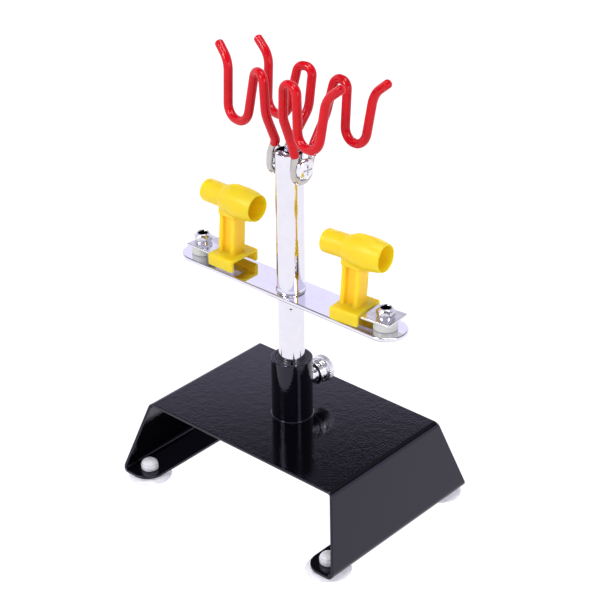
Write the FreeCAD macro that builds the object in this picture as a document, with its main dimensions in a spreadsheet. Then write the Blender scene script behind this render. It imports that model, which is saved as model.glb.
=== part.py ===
import FreeCAD, Part
import math
import os
import Sketcher

# Airbrush holder stand. Millimetres, +Z up, +X along the long side of the base,
# origin on the floor under the middle of the base.

os.makedirs("parts", exist_ok=True)
doc = FreeCAD.newDocument("airbrush_holder_stand")
Vec = FreeCAD.Vector
UP = Vec(0, 0, 1)

# ---------------------------------------------------------------- sizes
dims = doc.addObject("Spreadsheet::Sheet", "dims")
SIZES = [
    # base: one bent steel sheet on four suction feet
    ("sheet", 2.0),
    ("deck_length", 150.0),
    ("deck_depth", 100.0),
    ("deck_top", 52.0),
    ("leg_splay", 13.5),
    ("leg_flare", 14.5),
    ("foot_gap", 3.0),
    ("flange_width", 24.0),
    ("flange_round", 11.5),
    ("bend_radius", 4.0),
    ("foot_x", 75.0),
    ("foot_y", 52.8),
    ("foot_radius", 13.8),
    ("foot_neck", 4.0),
    ("foot_head", 5.5),
    ("foot_head_height", 6.5),
    ("foot_rim", 0.9),
    ("foot_skirt", 7.5),
    ("foot_wall", 1.4),
    ("foot_hollow", 1.6),
    ("foot_hollow_top", 4.0),
    ("foot_stem", 3.5),
    ("foot_ring", 4.6),
    ("foot_ring_height", 0.8),
    ("foot_dome", 2.2),
    ("foot_dome_foot", 5.2),
    ("foot_dome_top", 2.9),
    # collar, bush and thumb screw
    ("collar_radius", 12.7),
    ("collar_bore", 10.2),
    ("collar_height", 40.2),
    ("weld_width", 0.9),
    ("bush_radius", 10.15),
    ("bush_bore", 8.05),
    ("bush_gap", 0.4),
    ("slit_width", 1.4),
    ("slit_angle", -48.0),
    ("screw_height", 71.3),
    ("screw_radius", 3.0),
    ("screw_fit", 0.06),
    ("screw_tip", 10.35),
    ("neck_start", 13.1),
    ("neck_radius", 5.0),
    ("spool_start", 19.2),
    ("spool_radius", 7.4),
    ("knob_start", 25.8),
    ("knob_radius", 8.7),
    ("knob_end", 30.4),
    ("spool_edge", 1.0),
    ("knob_edge", 0.6),
    # column
    ("tube_radius", 8.0),
    ("tube_bore", 6.7),
    ("tube_foot", 52.5),
    ("tube_top", 200.0),
    ("dimple_height", 128.5),
    ("dimple_radius", 1.6),
    ("dimple_sink", 0.6),
    ("sleeve_radius", 8.5),
    ("sleeve_top", 228.5),
    ("sleeve_lip", 0.6),
    ("sleeve_lip_height", 1.8),
    # cross bar
    ("bar_length", 172.0),
    ("bar_width", 25.4),
    ("bar_thickness", 2.5),
    ("bar_top", 139.5),
    ("bar_hole_x", 72.5),
    ("bolt_radius", 3.0),
    ("hole_reach", 12.0),
    # hooks and their bolt
    ("hook_height", 219.0),
    ("hook_yaw", -8.0),
    ("east_tilt", 10.0),
    ("west_tilt", 8.5),
    ("wire_radius", 2.0),
    ("coat_radius", 2.75),
    ("loop_radius", 6.0),
    ("loop_offset", 10.8),
    ("coat_start", 10.5),
    ("pan_offset", 13.1),
    ("pan_radius", 6.3),
    ("pan_height", 3.0),
    ("pan_round", 1.4),
    ("recess_width", 1.3),
    ("recess_span", 6.4),
    ("recess_depth", 1.6),
    ("barrel_radius", 3.5),
    ("barrel_end", 4.0),
    ("barrel_floor", 11.0),
    # clamp at each end of the bar
    ("spacer_radius", 7.2),
    ("spacer_height", 6.2),
    ("clamp_gap", 0.05),
    ("clamp_fit", 0.06),
    ("clamp_thickness", 1.5),
    ("clamp_width", 18.6),
    ("clamp_length", 33.5),
    ("east_clamp_outer", 8.5),
    ("west_clamp_outer", 5.0),
    ("nut_flats", 10.0),
    ("nut_height", 6.0),
    ("nut_crown_foot", 7.2),
    ("nut_crown_top", 4.0),
    ("bolt_head", 4.0),
    ("bolt_below_nut_top", 1.5),
    # yellow airbrush rest
    ("east_rest_inset", 21.5),
    ("west_rest_inset", 25.3),
    ("east_rest_yaw", 5.5),
    ("west_rest_yaw", 0.0),
    ("saddle_length", 19.2),
    ("saddle_depth", 23.6),
    ("saddle_bottom", 140.6),
    ("saddle_top", 148.8),
    ("saddle_wall", 2.4),
    ("mast_width", 11.0),
    ("mast_depth", 9.6),
    ("groove_width", 4.6),
    ("groove_depth", 2.8),
    ("band_height", 2.4),
    ("band_rim", 0.8),
    ("head_height", 184.2),
    ("head_back", -20.8),
    ("head_step", -4.0),
    ("head_swell", 8.0),
    ("head_mouth", 21.2),
    ("head_small", 6.9),
    ("head_neck", 7.9),
    ("head_large", 9.9),
    ("head_round", 2.0),
    ("mouth_bore", 7.6),
    ("mouth_depth", 21.0),
    ("tail_bore", 4.4),
    ("tail_depth", 37.0),
    ("ridge_width", 5.0),
    ("ridge_rise", 1.6),
    ("ridge_length", 16.0),
]
for row, (alias, value) in enumerate(SIZES, start=1):
    dims.set("A%d" % row, alias)
    dims.set("B%d" % row, str(value))
    dims.setAlias("B%d" % row, alias)

# Bend corners of one hook leg, as distances (out from the column, sideways, up
# from the bolt), with the bend radius wanted at each corner.
CORNERS = [
    "start",
    "rise",
    "knee",
    "peak_in",
    "peak_out",
    "cradle_in",
    "cradle_out",
    "bend",
    "tip",
]
HOOK_POINTS = {
    "east": [
        (10.8, 6.0, 8.0, 6.0),
        (9.0, 8.0, 15.5, 12.0),
        (7.2, 16.3, 32.5, 18.0),
        (7.1, 19.4, 54.0, 5.2),
        (18.0, 19.1, 53.6, 5.2),
        (23.6, 17.6, 22.2, 9.0),
        (40.4, 17.4, 22.4, 9.0),
        (41.4, 17.8, 54.0, 14.0),
        (50.5, 17.4, 61.9, 0.0),
    ],
    "west": [
        (10.8, 6.0, 8.0, 6.0),
        (9.0, 7.8, 15.5, 12.0),
        (6.9, 16.2, 31.0, 18.0),
        (9.8, 18.6, 53.6, 5.0),
        (19.8, 16.2, 53.4, 5.0),
        (23.6, 14.8, 19.5, 9.0),
        (40.8, 15.0, 20.0, 9.0),
        (45.0, 15.2, 51.5, 14.0),
        (54.3, 14.6, 58.5, 0.0),
    ],
}
bends = doc.addObject("Spreadsheet::Sheet", "hook_bends")
row = 1
for side in ("east", "west"):
    for corner, numbers in zip(CORNERS, HOOK_POINTS[side]):
        for what, value in zip(("out", "side", "up", "radius"), numbers):
            alias = "%s_%s_%s" % (side, corner, what)
            bends.set("A%d" % row, alias)
            bends.set("B%d" % row, str(value))
            bends.setAlias("B%d" % row, alias)
            row += 1
doc.recompute()


def size(alias):
    """Value of one cell of the size sheet."""
    return float(dims.get(alias))


# ---------------------------------------------------------------- helpers
AXIS_ROTATION = {
    "z": FreeCAD.Rotation(),
    "x": FreeCAD.Rotation(Vec(0, 1, 0), 90),
    "-x": FreeCAD.Rotation(Vec(0, 1, 0), -90),
    "y": FreeCAD.Rotation(Vec(1, 0, 0), -90),
}


def place_by(obj, x=None, y=None, z=None):
    """Bind the base point of a placement to size expressions."""
    for letter, text in (("x", x), ("y", y), ("z", z)):
        if text is not None:
            obj.setExpression("Placement.Base." + letter, text)


def cylinder(name, radius, height, axis="z", x=None, y=None, z=None):
    obj = doc.addObject("Part::Cylinder", name)
    obj.Placement = FreeCAD.Placement(Vec(), AXIS_ROTATION[axis])
    obj.setExpression("Radius", radius)
    obj.setExpression("Height", height)
    place_by(obj, x, y, z)
    return obj


def cone(name, radius_1, radius_2, height, axis="z", x=None, y=None, z=None):
    obj = doc.addObject("Part::Cone", name)
    obj.Placement = FreeCAD.Placement(Vec(), AXIS_ROTATION[axis])
    obj.setExpression("Radius1", radius_1)
    obj.setExpression("Radius2", radius_2)
    obj.setExpression("Height", height)
    place_by(obj, x, y, z)
    return obj


def box(name, length, width, height, x=None, y=None, z=None):
    obj = doc.addObject("Part::Box", name)
    obj.setExpression("Length", length)
    obj.setExpression("Width", width)
    obj.setExpression("Height", height)
    place_by(obj, x, y, z)
    return obj


def hexagon(name, flats, height, z):
    obj = doc.addObject("Part::Prism", name)
    obj.Polygon = 6
    obj.setExpression("Circumradius", "(%s) / 2 / cos(30)" % flats)
    obj.setExpression("Height", height)
    place_by(obj, z=z)
    return obj


def fuse(name, shapes):
    obj = doc.addObject("Part::MultiFuse", name)
    obj.Shapes = shapes
    obj.Refine = True
    return obj


def cut(name, base, tools):
    tool = tools[0] if len(tools) == 1 else fuse(name + "_tools", tools)
    obj = doc.addObject("Part::Cut", name)
    obj.Base = base
    obj.Tool = tool
    obj.Refine = True
    return obj


NODES = []


def node(obj, label):
    """Name a finished sub-part and keep it for export."""
    obj.Label = label
    NODES.append(obj)
    return obj


# ---------------------------------------------------------------- base plate
def edges_at(shape, direction, points, tolerance=0.6):
    """Straight edges along a direction that pass near given points."""
    found = []
    for edge in shape.Edges:
        if not isinstance(edge.Curve, Part.Line):
            continue
        along = (edge.Vertexes[-1].Point - edge.Vertexes[0].Point).normalize()
        if abs(along.dot(direction)) < 0.9:
            continue
        for point in points:
            gap = point - edge.Vertexes[0].Point
            if (gap - along * gap.dot(along)).Length < tolerance:
                found.append(edge)
                break
    return found


def base_plate_shape():
    sheet = size("sheet")
    deck = size("deck_length") / 2
    top = size("deck_top")
    foot = size("foot_gap")
    out = deck + size("leg_splay")
    inner = out - size("flange_width")
    wide = size("deck_depth") / 2 + size("leg_flare")
    slope = size("leg_splay") / (top - foot)
    sag = sheet * (math.sqrt(1 + slope * slope) - slope)
    half = [
        (inner, foot),
        (out, foot),
        (deck, top),
    ]
    inside = [
        (deck - sag, top - sheet),
        (out - sheet * (math.sqrt(1 + slope * slope) + slope), foot + sheet),
        (inner, foot + sheet),
    ]
    ring = [(x, z) for x, z in half] + [(-x, z) for x, z in reversed(half)]
    ring += [(-x, z) for x, z in reversed(inside)] + [(x, z) for x, z in inside]
    points = [Vec(x, -wide - 10, z) for x, z in ring]
    profile = Part.Face(Part.makePolygon(points + points[:1]))
    body = profile.extrude(Vec(0, 2 * wide + 20, 0))

    radius = size("bend_radius")
    outer = [Vec(s * x, 0, z) for s in (1, -1) for x, z in half[1:]]
    inner_bends = [Vec(s * x, 0, z) for s in (1, -1) for x, z in inside[:2]]
    along_y = Vec(0, 1, 0)
    body = body.makeFillet(radius, edges_at(body, along_y, outer))
    body = body.makeFillet(radius - sheet, edges_at(body, along_y, inner_bends))

    narrow = size("deck_depth") / 2
    side = [
        Vec(-out - 5, -narrow, top),
        Vec(-out - 5, narrow, top),
        Vec(-out - 5, wide, foot),
        Vec(-out - 5, -wide, foot),
    ]
    flare = Part.Face(Part.makePolygon(side + side[:1])).extrude(Vec(2 * out + 10, 0, 0))
    body = body.common(flare)

    turn = size("flange_round")
    for sx in (1, -1):
        for sy in (1, -1):
            square = Part.makeBox(turn + 1, turn + 1, 3 * sheet)
            square.translate(Vec(-1, 0, 0))
            disc = Part.makeCylinder(turn, 3 * sheet, Vec(turn, 0, 0))
            corner = square.cut(disc)
            corner.translate(Vec(inner, wide - turn, foot - sheet / 2))
            if sx < 0:
                corner = corner.mirror(Vec(), Vec(1, 0, 0))
            if sy < 0:
                corner = corner.mirror(Vec(), Vec(0, 1, 0))
            body = body.cut(corner)

    hole = size("foot_neck")
    for sx in (1, -1):
        for sy in (1, -1):
            at = Vec(sx * size("foot_x"), sy * size("foot_y"), 0)
            body = body.cut(Part.makeCylinder(hole, foot + 3 * sheet, at, UP))
    return body


base_plate = doc.addObject("Part::Feature", "BasePlate")
base_plate.Shape = base_plate_shape()
base_plate.Placement = FreeCAD.Placement()
node(base_plate, "base_plate")

# ---------------------------------------------------------------- suction feet
FOOT_NODES = [
    ("foot_front_left", -1, -1),
    ("foot_front_right", 1, -1),
    ("foot_rear_left", -1, 1),
    ("foot_rear_right", 1, 1),
]
for label, sx, sy in FOOT_NODES:
    tag = "".join(word.capitalize() for word in label.split("_"))
    sheet_top = "dims.foot_gap + dims.sheet"
    head_top = sheet_top + " + dims.foot_head_height"
    rim = cylinder(tag + "Rim", "dims.foot_radius", "dims.foot_rim")
    skirt = cone(
        tag + "Skirt",
        "dims.foot_radius",
        "dims.foot_skirt",
        "dims.foot_gap - dims.foot_rim",
        z="dims.foot_rim",
    )
    neck = cylinder(tag + "Neck", "dims.foot_neck", "dims.sheet + 1", z="dims.foot_gap - 0.5")
    stem = cylinder(tag + "Stem", "dims.foot_head", "dims.foot_stem", z=sheet_top)
    ring = cylinder(
        tag + "Ring", "dims.foot_ring", "dims.foot_ring_height", z=sheet_top + " + dims.foot_stem"
    )
    dome = cone(
        tag + "Dome",
        "dims.foot_dome_foot",
        "dims.foot_dome_top",
        "dims.foot_dome",
        z=head_top + " - dims.foot_dome",
    )
    whole = fuse(tag + "Whole", [rim, skirt, neck, stem, ring, dome])
    hollow = cone(
        tag + "Hollow",
        "dims.foot_radius - dims.foot_wall",
        "dims.foot_hollow_top",
        "dims.foot_hollow",
    )
    foot = cut(tag, whole, [hollow])
    place_by(foot, x="%d * dims.foot_x" % sx, y="%d * dims.foot_y" % sy)
    node(foot, label)

# ---------------------------------------------------------------- collar and bush
collar_wall = cylinder("CollarWall", "dims.collar_radius", "dims.collar_height", z="dims.deck_top")
weld = cone(
    "CollarWeld",
    "dims.collar_radius + dims.weld_width",
    "dims.collar_radius",
    "dims.weld_width",
    z="dims.deck_top",
)
collar_solid = fuse("CollarSolid", [collar_wall, weld])
collar_hole = cylinder("CollarHole", "dims.collar_bore", "dims.collar_height + 2", z="dims.deck_top - 1")
screw_hole = cylinder(
    "CollarScrewHole",
    "dims.screw_radius + dims.screw_fit",
    "dims.collar_radius",
    axis="y",
    y="dims.screw_radius * 2",
    z="dims.screw_height",
)
node(cut("Collar", collar_solid, [collar_hole, screw_hole]), "collar_tube")

bush_wall = cylinder(
    "BushWall", "dims.bush_radius", "dims.collar_height - dims.bush_gap", z="dims.deck_top + dims.bush_gap"
)
bush_hole = cylinder("BushHole", "dims.bush_bore", "dims.collar_height + 2", z="dims.deck_top - 1")
slit = box(
    "BushSlit",
    "dims.bush_radius + 2",
    "dims.slit_width",
    "dims.collar_height + 2",
    z="dims.deck_top - 1",
)
slit.Placement.Rotation = FreeCAD.Rotation(UP, size("slit_angle"))
slit.setExpression("Placement.Base.x", "sin(dims.slit_angle) * dims.slit_width / 2")
slit.setExpression("Placement.Base.y", "-cos(dims.slit_angle) * dims.slit_width / 2")
node(cut("Bush", bush_wall, [bush_hole, slit]), "collar_bush")

screw_parts = [
    cylinder(
        "ScrewShank",
        "dims.screw_radius",
        "dims.neck_start - dims.screw_tip + 0.5",
        axis="y",
        y="dims.screw_tip",
        z="dims.screw_height",
    ),
    cylinder(
        "ScrewNeck",
        "dims.neck_radius",
        "dims.spool_start - dims.neck_start",
        axis="y",
        y="dims.neck_start",
        z="dims.screw_height",
    ),
    cone(
        "ScrewShoulder",
        "dims.spool_radius - dims.spool_edge",
        "dims.spool_radius",
        "dims.spool_edge",
        axis="y",
        y="dims.spool_start",
        z="dims.screw_height",
    ),
    cylinder(
        "ScrewSpool",
        "dims.spool_radius",
        "dims.knob_start - dims.spool_start - dims.spool_edge",
        axis="y",
        y="dims.spool_start + dims.spool_edge",
        z="dims.screw_height",
    ),
    cylinder(
        "ScrewKnob",
        "dims.knob_radius",
        "dims.knob_end - dims.knob_start - dims.knob_edge",
        axis="y",
        y="dims.knob_start",
        z="dims.screw_height",
    ),
    cone(
        "ScrewKnobEdge",
        "dims.knob_radius",
        "dims.knob_radius - dims.knob_edge",
        "dims.knob_edge",
        axis="y",
        y="dims.knob_end - dims.knob_edge",
        z="dims.screw_height",
    ),
]
node(fuse("ThumbScrew", screw_parts), "thumb_screw")

# ---------------------------------------------------------------- column tubes
lower_wall = cylinder("LowerWall", "dims.tube_radius", "dims.tube_top - dims.tube_foot", z="dims.tube_foot")
lower_bore = cylinder("LowerBore", "dims.tube_bore", "dims.tube_top - dims.tube_foot + 2", z="dims.tube_foot - 1")
dimple = doc.addObject("Part::Sphere", "Dimple")
dimple.setExpression("Radius", "dims.dimple_radius")
place_by(
    dimple,
    x="cos(dims.slit_angle) * (dims.tube_radius + dims.dimple_radius - dims.dimple_sink)",
    y="sin(dims.slit_angle) * (dims.tube_radius + dims.dimple_radius - dims.dimple_sink)",
    z="dims.dimple_height",
)
node(cut("LowerTube", lower_wall, [lower_bore, dimple]), "lower_column_tube")

upper_wall = cylinder("UpperWall", "dims.sleeve_radius", "dims.sleeve_top - dims.bar_top", z="dims.bar_top")
lip = cone(
    "UpperLip",
    "dims.sleeve_radius + dims.sleeve_lip",
    "dims.sleeve_radius",
    "dims.sleeve_lip_height",
    z="dims.bar_top",
)
upper_solid = fuse("UpperSolid", [upper_wall, lip])
upper_bore = cylinder("UpperBore", "dims.tube_radius", "dims.sleeve_top - dims.bar_top + 2", z="dims.bar_top - 1")
east_hole = cylinder("EastBoltHole", "dims.bolt_radius", "dims.hole_reach", axis="x", z="dims.hook_height")
west_hole = cylinder("WestBoltHole", "dims.barrel_radius", "dims.hole_reach", axis="-x", z="dims.hook_height")
bolt_holes = fuse("ColumnBoltHoles", [east_hole, west_hole])
bolt_holes.Placement.Rotation = FreeCAD.Rotation(UP, size("hook_yaw"))
node(cut("UpperTube", upper_solid, [upper_bore, bolt_holes]), "upper_column_tube")

# ---------------------------------------------------------------- cross bar
bar = doc.addObject("PartDesign::Body", "CrossBar")
plane = [o for o in bar.Origin.OriginFeatures if o.Role == "XY_Plane"][0]


def bar_sketch(name, build):
    sketch = bar.newObject("Sketcher::SketchObject", name)
    sketch.AttachmentSupport = [(plane, "")]
    sketch.MapMode = "FlatFace"
    build(sketch)
    return sketch


def slot_outline(sketch):
    half = size("bar_length") / 2 - size("bar_width") / 2
    radius = size("bar_width") / 2
    top = Vec(-half, radius, 0), Vec(half, radius, 0)
    low = Vec(half, -radius, 0), Vec(-half, -radius, 0)
    sketch.addGeometry(Part.LineSegment(*top), False)
    right = Part.Circle(Vec(half, 0, 0), UP, radius)
    sketch.addGeometry(Part.ArcOfCircle(right, -math.pi / 2, math.pi / 2), False)
    sketch.addGeometry(Part.LineSegment(*low), False)
    left = Part.Circle(Vec(-half, 0, 0), UP, radius)
    sketch.addGeometry(Part.ArcOfCircle(left, math.pi / 2, 3 * math.pi / 2), False)


def bar_holes(sketch):
    circles = [
        (0.0, "dims.tube_radius"),
        (size("bar_hole_x"), "dims.bolt_radius"),
        (-size("bar_hole_x"), "dims.bolt_radius"),
    ]
    for x, radius in circles:
        alias = radius.split(".")[1]
        index = sketch.addGeometry(Part.Circle(Vec(x, 0, 0), UP, size(alias)), False)
        constraint = sketch.addConstraint(Sketcher.Constraint("Radius", index, size(alias)))
        sketch.setExpression("Constraints[%d]" % constraint, radius)


outline = bar_sketch("BarOutline", slot_outline)
bar_pad = bar.newObject("PartDesign::Pad", "BarPad")
bar_pad.Profile = outline
bar_pad.setExpression("Length", "dims.bar_thickness")
holes = bar_sketch("BarHoles", bar_holes)
bar_pocket = bar.newObject("PartDesign::Pocket", "BarPocket")
bar_pocket.Profile = holes
bar_pocket.Type = "ThroughAll"
bar_pocket.Midplane = True
place_by(bar, z="dims.bar_top - dims.bar_thickness")
node(bar, "cross_bar")

# ---------------------------------------------------------------- hook bolt and nut
HOOK_TURN = FreeCAD.Rotation(UP, size("hook_yaw"))


def pan_head(name, axis, sign):
    """Low round head with a rolled edge, growing outwards along the bolt."""
    disc = cylinder(
        name + "Disc",
        "dims.pan_radius",
        "dims.pan_height",
        axis=axis,
        x="%d * dims.pan_offset" % sign,
        z="dims.hook_height",
    )
    doc.recompute()
    rounded = doc.addObject("Part::Fillet", name + "Round")
    rounded.Base = disc
    far = sign * (size("pan_offset") + size("pan_height"))
    picks = []
    for number, edge in enumerate(disc.Shape.Edges, start=1):
        centre = edge.BoundBox.Center
        if edge.Closed and abs(centre.x - far) < 0.01:
            picks.append((number, size("pan_round"), size("pan_round")))
    rounded.Edges = picks
    return rounded


bolt_head = pan_head("HookBolt", "x", 1)
bolt_shank = cylinder(
    "HookBoltShank",
    "dims.bolt_radius",
    "dims.pan_offset + dims.barrel_floor + 1",
    axis="x",
    x="-dims.barrel_floor",
    z="dims.hook_height",
)
recess = []
for letter, width, height in (
    ("A", "dims.recess_width", "dims.recess_span"),
    ("B", "dims.recess_span", "dims.recess_width"),
):
    recess.append(
        box(
            "HookBoltRecess" + letter,
            "dims.recess_depth + 1",
            width,
            height,
            x="dims.pan_offset + dims.pan_height - dims.recess_depth",
            y="-(%s) / 2" % width,
            z="dims.hook_height - (%s) / 2" % height,
        )
    )
bolt_solid = fuse("HookBoltSolid", [bolt_head, bolt_shank])
hook_bolt = cut("HookBoltWhole", bolt_solid, recess)
hook_bolt.Placement.Rotation = HOOK_TURN
node(hook_bolt, "hook_bolt")

nut_head = pan_head("HookNut", "-x", -1)
nut_barrel = cylinder(
    "HookNutBarrel",
    "dims.barrel_radius",
    "dims.pan_offset + dims.barrel_end + 1",
    axis="x",
    x="-dims.pan_offset - 1",
    z="dims.hook_height",
)
nut_bore = cylinder(
    "HookNutBore",
    "dims.bolt_radius",
    "dims.barrel_floor + dims.barrel_end + 1",
    axis="x",
    x="-dims.barrel_floor",
    z="dims.hook_height",
)
nut_solid = fuse("HookNutSolid", [nut_head, nut_barrel])
hook_nut = cut("HookNutWhole", nut_solid, [nut_bore])
hook_nut.Placement.Rotation = HOOK_TURN
node(hook_nut, "hook_barrel_nut")


# ---------------------------------------------------------------- bent wire hooks
def hook_corner(side, corner):
    """Corner point and bend radius of one hook leg, read from the bend sheet."""
    values = []
    for what in ("out", "side", "up", "radius"):
        values.append(float(bends.get("%s_%s_%s" % (side, corner, what))))
    return Vec(values[0], values[1], values[2]), values[3]


def bent_path(points, radii):
    """Straight runs joined by tangent arcs, as a list of edges."""
    edges = []
    start = points[0]
    for before, corner, after, wanted in zip(points, points[1:], points[2:], radii[1:]):
        back = before - corner
        ahead = after - corner
        room = 0.49 * min(back.Length, ahead.Length)
        back.normalize()
        ahead.normalize()
        half = math.acos(max(-1.0, min(1.0, back.dot(ahead)))) / 2
        reach = min(wanted / math.tan(half), room)
        radius = reach * math.tan(half)
        enter = corner + back * reach
        leave = corner + ahead * reach
        middle = (back + ahead).normalize()
        apex = corner + middle * (radius / math.sin(half) - radius)
        edges.append(Part.LineSegment(start, enter).toShape())
        edges.append(Part.Arc(enter, apex, leave).toShape())
        start = leave
    edges.append(Part.LineSegment(start, points[-1]).toShape())
    return edges


def swept(edges, radius):
    """Round bar of one radius along a path."""
    first = edges[0]
    at = first.valueAt(first.FirstParameter)
    tangent = first.tangentAt(first.FirstParameter)
    ring = Part.Wire(Part.makeCircle(radius, at, tangent))
    return Part.Wire(edges).makePipeShell([ring], True, False)


def leg_edges(side, bare):
    """One leg from the bolt level up to its tip, or only its coated part."""
    points = []
    radii = []
    for corner in CORNERS:
        point, radius = hook_corner(side, corner)
        points.append(point)
        radii.append(radius)
    foot = Vec(size("loop_offset"), size("loop_radius"), 0)
    edges = bent_path([foot] + points, [0.0] + radii)
    if bare:
        return edges
    kept = []
    level = size("coat_start")
    for edge in edges:
        low = edge.valueAt(edge.FirstParameter)
        high = edge.valueAt(edge.LastParameter)
        if not kept and high.z <= level:
            continue
        if not kept:
            a, b = edge.FirstParameter, edge.LastParameter
            for _ in range(40):
                m = (a + b) / 2
                if edge.valueAt(m).z < level:
                    a = m
                else:
                    b = m
            edge = edge.Curve.toShape(a, edge.LastParameter)
        kept.append(edge)
    return kept


def across(shape):
    """The other leg of the same hook."""
    return shape.mirror(Vec(), Vec(0, 1, 0))


def hook_shapes(side):
    legs = leg_edges(side, True)
    radius = size("loop_radius")
    out = size("loop_offset")
    loop = Part.Arc(Vec(out, radius, 0), Vec(out, 0, -radius), Vec(out, -radius, 0)).toShape()
    leg = swept(legs, size("wire_radius"))
    bottom = swept([loop], size("wire_radius"))
    wire = leg.fuse([bottom, across(leg)]).removeSplitter()
    coat_path = leg_edges(side, False)
    coat = swept(coat_path, size("coat_radius"))
    tip = coat_path[-1].valueAt(coat_path[-1].LastParameter)
    end = Part.makeSphere(size("coat_radius"), tip)
    coat = coat.fuse(end).removeSplitter()
    coat = coat.cut(leg)
    return wire, coat, across(coat)


HOOKS = [("east", 0.0, "east_tilt"), ("west", 180.0, "west_tilt")]
for side, half_turn, tilt in HOOKS:
    wire, left_coat, right_coat = hook_shapes(side)
    lean = -size(tilt) if side == "east" else size(tilt)
    turn = FreeCAD.Rotation(UP, size("hook_yaw") + half_turn)
    turn = turn.multiply(FreeCAD.Rotation(Vec(1, 0, 0), lean))
    spot = FreeCAD.Placement(Vec(0, 0, size("hook_height")), turn)
    front, rear = (right_coat, left_coat) if side == "east" else (left_coat, right_coat)
    for label, shape in (
        (side + "_hook_wire", wire),
        (side + "_hook_front_coating", front),
        (side + "_hook_rear_coating", rear),
    ):
        feature = doc.addObject("Part::Feature", "".join(w.capitalize() for w in label.split("_")))
        feature.Shape = shape
        feature.Placement = spot
        node(feature, label)

# ---------------------------------------------------------------- bar end clamps
CLAMP_TOP = "dims.bar_top + dims.spacer_height + dims.clamp_gap + dims.clamp_thickness"
for side, sx in (("east", 1), ("west", -1)):
    tag = side.capitalize()
    spacer_body = cylinder(tag + "SpacerBody", "dims.spacer_radius", "dims.spacer_height")
    spacer_bore = cylinder(tag + "SpacerBore", "dims.bolt_radius", "dims.spacer_height + 2", z="-1")
    spacer = cut(tag + "Spacer", spacer_body, [spacer_bore])
    place_by(spacer, x="%d * dims.bar_hole_x" % sx, z="dims.bar_top")
    node(spacer, side + "_spacer")

    head = hexagon(tag + "BoltHead", "dims.nut_flats", "dims.bolt_head", "-dims.bolt_head")
    shank = cylinder(
        tag + "BoltShank",
        "dims.bolt_radius",
        "%s + dims.clamp_gap + dims.nut_height - dims.bolt_below_nut_top - dims.bar_top + dims.bar_thickness"
        % CLAMP_TOP,
        z="0",
    )
    bolt = fuse(tag + "Bolt", [head, shank])
    place_by(bolt, x="%d * dims.bar_hole_x" % sx, z="dims.bar_top - dims.bar_thickness")
    node(bolt, side + "_end_bolt")

    flats = hexagon(tag + "NutFlats", "dims.nut_flats", "dims.nut_height", "0")
    crown = cone(
        tag + "NutCrown",
        "dims.nut_crown_foot",
        "dims.nut_crown_top",
        "dims.nut_height",
    )
    shaped = doc.addObject("Part::MultiCommon", tag + "NutShaped")
    shaped.Shapes = [flats, crown]
    nut_hole = cylinder(tag + "NutHole", "dims.bolt_radius", "dims.nut_height + 2", z="-1")
    nut = cut(tag + "Nut", shaped, [nut_hole])
    place_by(nut, x="%d * dims.bar_hole_x" % sx, z=CLAMP_TOP + " + dims.clamp_gap")
    node(nut, side + "_lock_nut")

    outer = "dims.%s_clamp_outer" % side
    start = "%s - dims.clamp_length" % outer if sx > 0 else "-" + outer
    plate_body = box(
        tag + "PlateBody",
        "dims.clamp_length",
        "dims.clamp_width",
        "dims.clamp_thickness",
        x=start,
        y="-dims.clamp_width / 2",
    )
    plate_hole = cylinder(
        tag + "PlateHole", "dims.bolt_radius + dims.clamp_fit", "dims.clamp_thickness + 2", z="-1"
    )
    plate = cut(tag + "Plate", plate_body, [plate_hole])
    place_by(
        plate,
        x="%d * dims.bar_hole_x" % sx,
        z="dims.bar_top + dims.spacer_height + dims.clamp_gap",
    )
    plate.Placement.Rotation = FreeCAD.Rotation(UP, size(side + "_rest_yaw"))
    node(plate, side + "_clamp_plate")

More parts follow.
